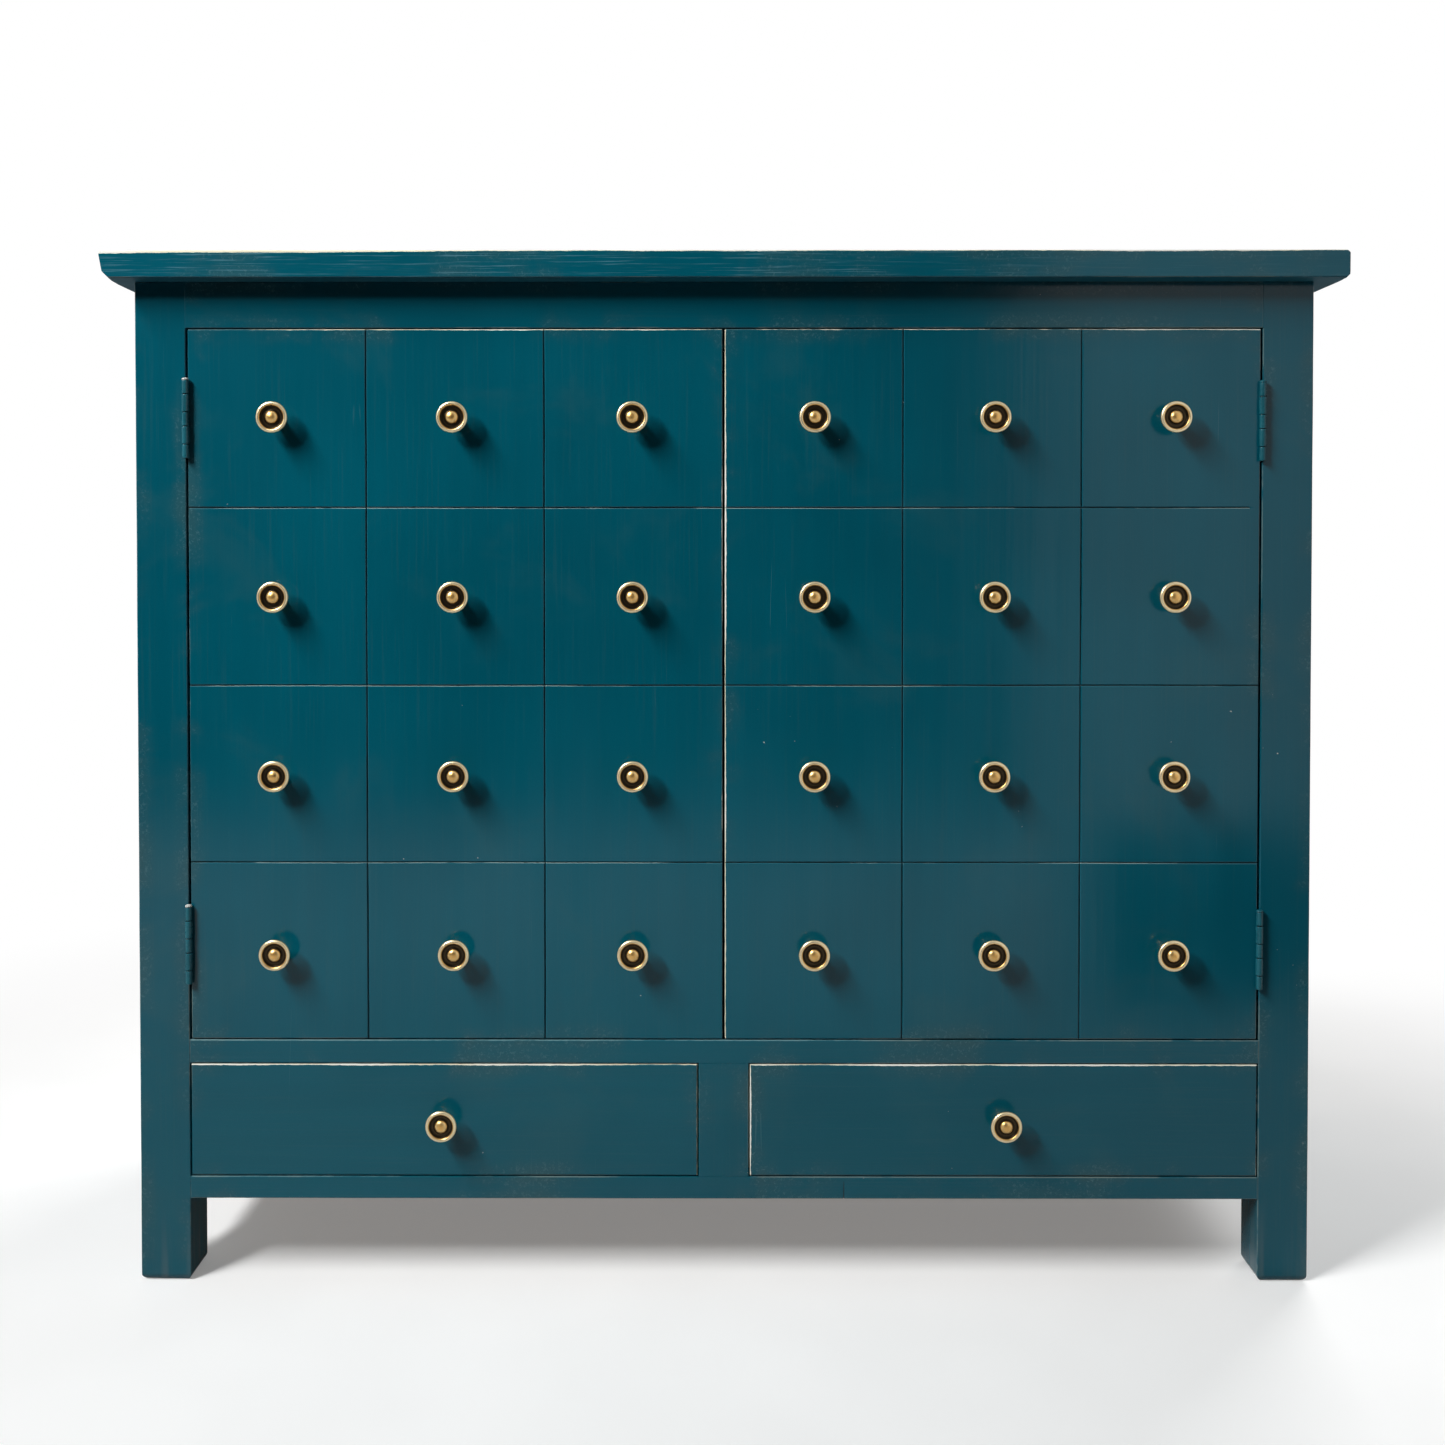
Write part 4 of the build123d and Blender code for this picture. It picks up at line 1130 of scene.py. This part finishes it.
def plane(name, places, material):
    mesh = bpy.data.meshes.new(name)
    mesh.from_pydata(places, [], [(0, 1, 2, 3)])
    mesh.materials.append(material)
    item = new_object(name, mesh)
    return item


def upright(name, left, right, y, height, material):
    """A plane on the floor that faces the cabinet, and that the camera doesn't see."""
    item = plane(name, [(left, y, 0), (right, y, 0), (right, y, height), (left, y, height)], material)
    item.visible_camera = False
    return item


def floor_material():
    """Pale floor that keeps the shadow near the cabinet and fades to the white beyond it."""
    g, place = new_look("pale_floor")
    seen, by_camera = g.rays("Camera", "Glossy"), g.rays("Camera")
    mottled = g.noise(place, 6.0, 3.0, 0.5)
    pale = g.mix(g.ramp(mottled, 0.3, 0.7), FLOOR_PALE, FLOOR_MOTTLE)
    inputs = {"Base Color": g.mix(seen, FLOOR_BOUNCE, pale), "Roughness": 0.7}
    inputs |= {"Emission Color": WHITE, "Emission Strength": g.times(by_camera, 0.20)}
    matte = g.add("ShaderNodeBsdfPrincipled", inputs)
    white = g.add("ShaderNodeEmission", {"Color": WHITE, "Strength": 1.0})
    away = g.add("ShaderNodeVectorMath", {0: place}, operation="LENGTH").outputs["Value"]
    far = g.times(g.ramp(away, 0.65, 1.6), seen)
    blend = g.add("ShaderNodeMixShader", {0: far, 1: matte.outputs[0], 2: white.outputs[0]})
    return g.output(blend)


def flag_material():
    g = Graph(bpy.data.materials.new("dark_flag"))
    return g.output(g.add("ShaderNodeBsdfDiffuse", {"Color": FLAG_BLACK}))


def white_world():
    """A dim even light, which is seen as white."""
    g = Graph(bpy.data.worlds.new("studio"))
    strength = g.ramp(g.rays("Camera", "Glossy", "Transmission"), 0.0, 1.0, WORLD_LIGHT, 1.0)
    light = g.add("ShaderNodeBackground", {"Color": WHITE, "Strength": strength})
    return g.output(light, "World")


def lamp(name, place, target, width, height, power, spread=180):
    """A soft rectangular lamp aimed at a point."""
    data = bpy.data.lights.new(name, "AREA")
    data.shape = "RECTANGLE"
    data.size, data.size_y = width, height
    data.energy = power
    data.spread = math.radians(spread)
    item = new_object(name, data)
    item.location = place
    item.rotation_euler = (Vector(target) - Vector(place)).to_track_quat("-Z", "Y").to_euler()
    item.visible_camera = False
    return item


def strip_lamp(name, start, end, target, width, power, spread):
    """A soft lamp whose long side runs between two points, turned to a target."""
    middle, along = (Vector(start) + Vector(end)) / 2, Vector(end) - Vector(start)
    item = lamp(name, middle, target, width, along.length, power, spread)
    outward = (middle - Vector(target)).normalized()
    along = (along - outward * along.dot(outward)).normalized()
    item.rotation_euler = Matrix((along.cross(outward), along, outward)).transposed().to_euler()


LIT = (-0.40, -0.18, 0.86)
LIT_SPREAD = 66

plane("floor", FLOOR_CORNERS, floor_material())
dark = flag_material()
upright("flag", -5, 0.706, -2.45, 4, dark)
card = upright("low_card", 0.52, 0.95, -1.0, 0.27, dark)
card.visible_diffuse = card.visible_shadow = False
strip_lamp("window", (-1.95, -2.18, 2.20), (-2.22, -1.08, 3.42), LIT, 0.42, 19.5, LIT_SPREAD)
lamp("window_low", (-1.90, -2.18, 2.18), LIT, 0.30, 0.34, 2.9, LIT_SPREAD)
fill = lamp("fill_back", (1.6, 2.4, 1.8), (0, 0.1, 0.5), 1.8, 1.4, 70)
fill.visible_glossy = False
bpy.context.scene.world = white_world()

view = bpy.data.cameras.new("camera")
view.lens = 38.94
view.sensor_width = 36.0
view.shift_y = -0.10
camera = new_object("camera", view)
camera.location = (0.0032, -1.5765, 0.6625)
yaw, pitch = -0.003, 0.0193
forward = Vector((math.sin(yaw) * math.cos(pitch), math.cos(yaw) * math.cos(pitch), -math.sin(pitch)))
camera.rotation_euler = forward.to_track_quat("-Z", "Y").to_euler()
bpy.context.scene.camera = camera
bpy.context.scene.view_settings.view_transform = "Standard"
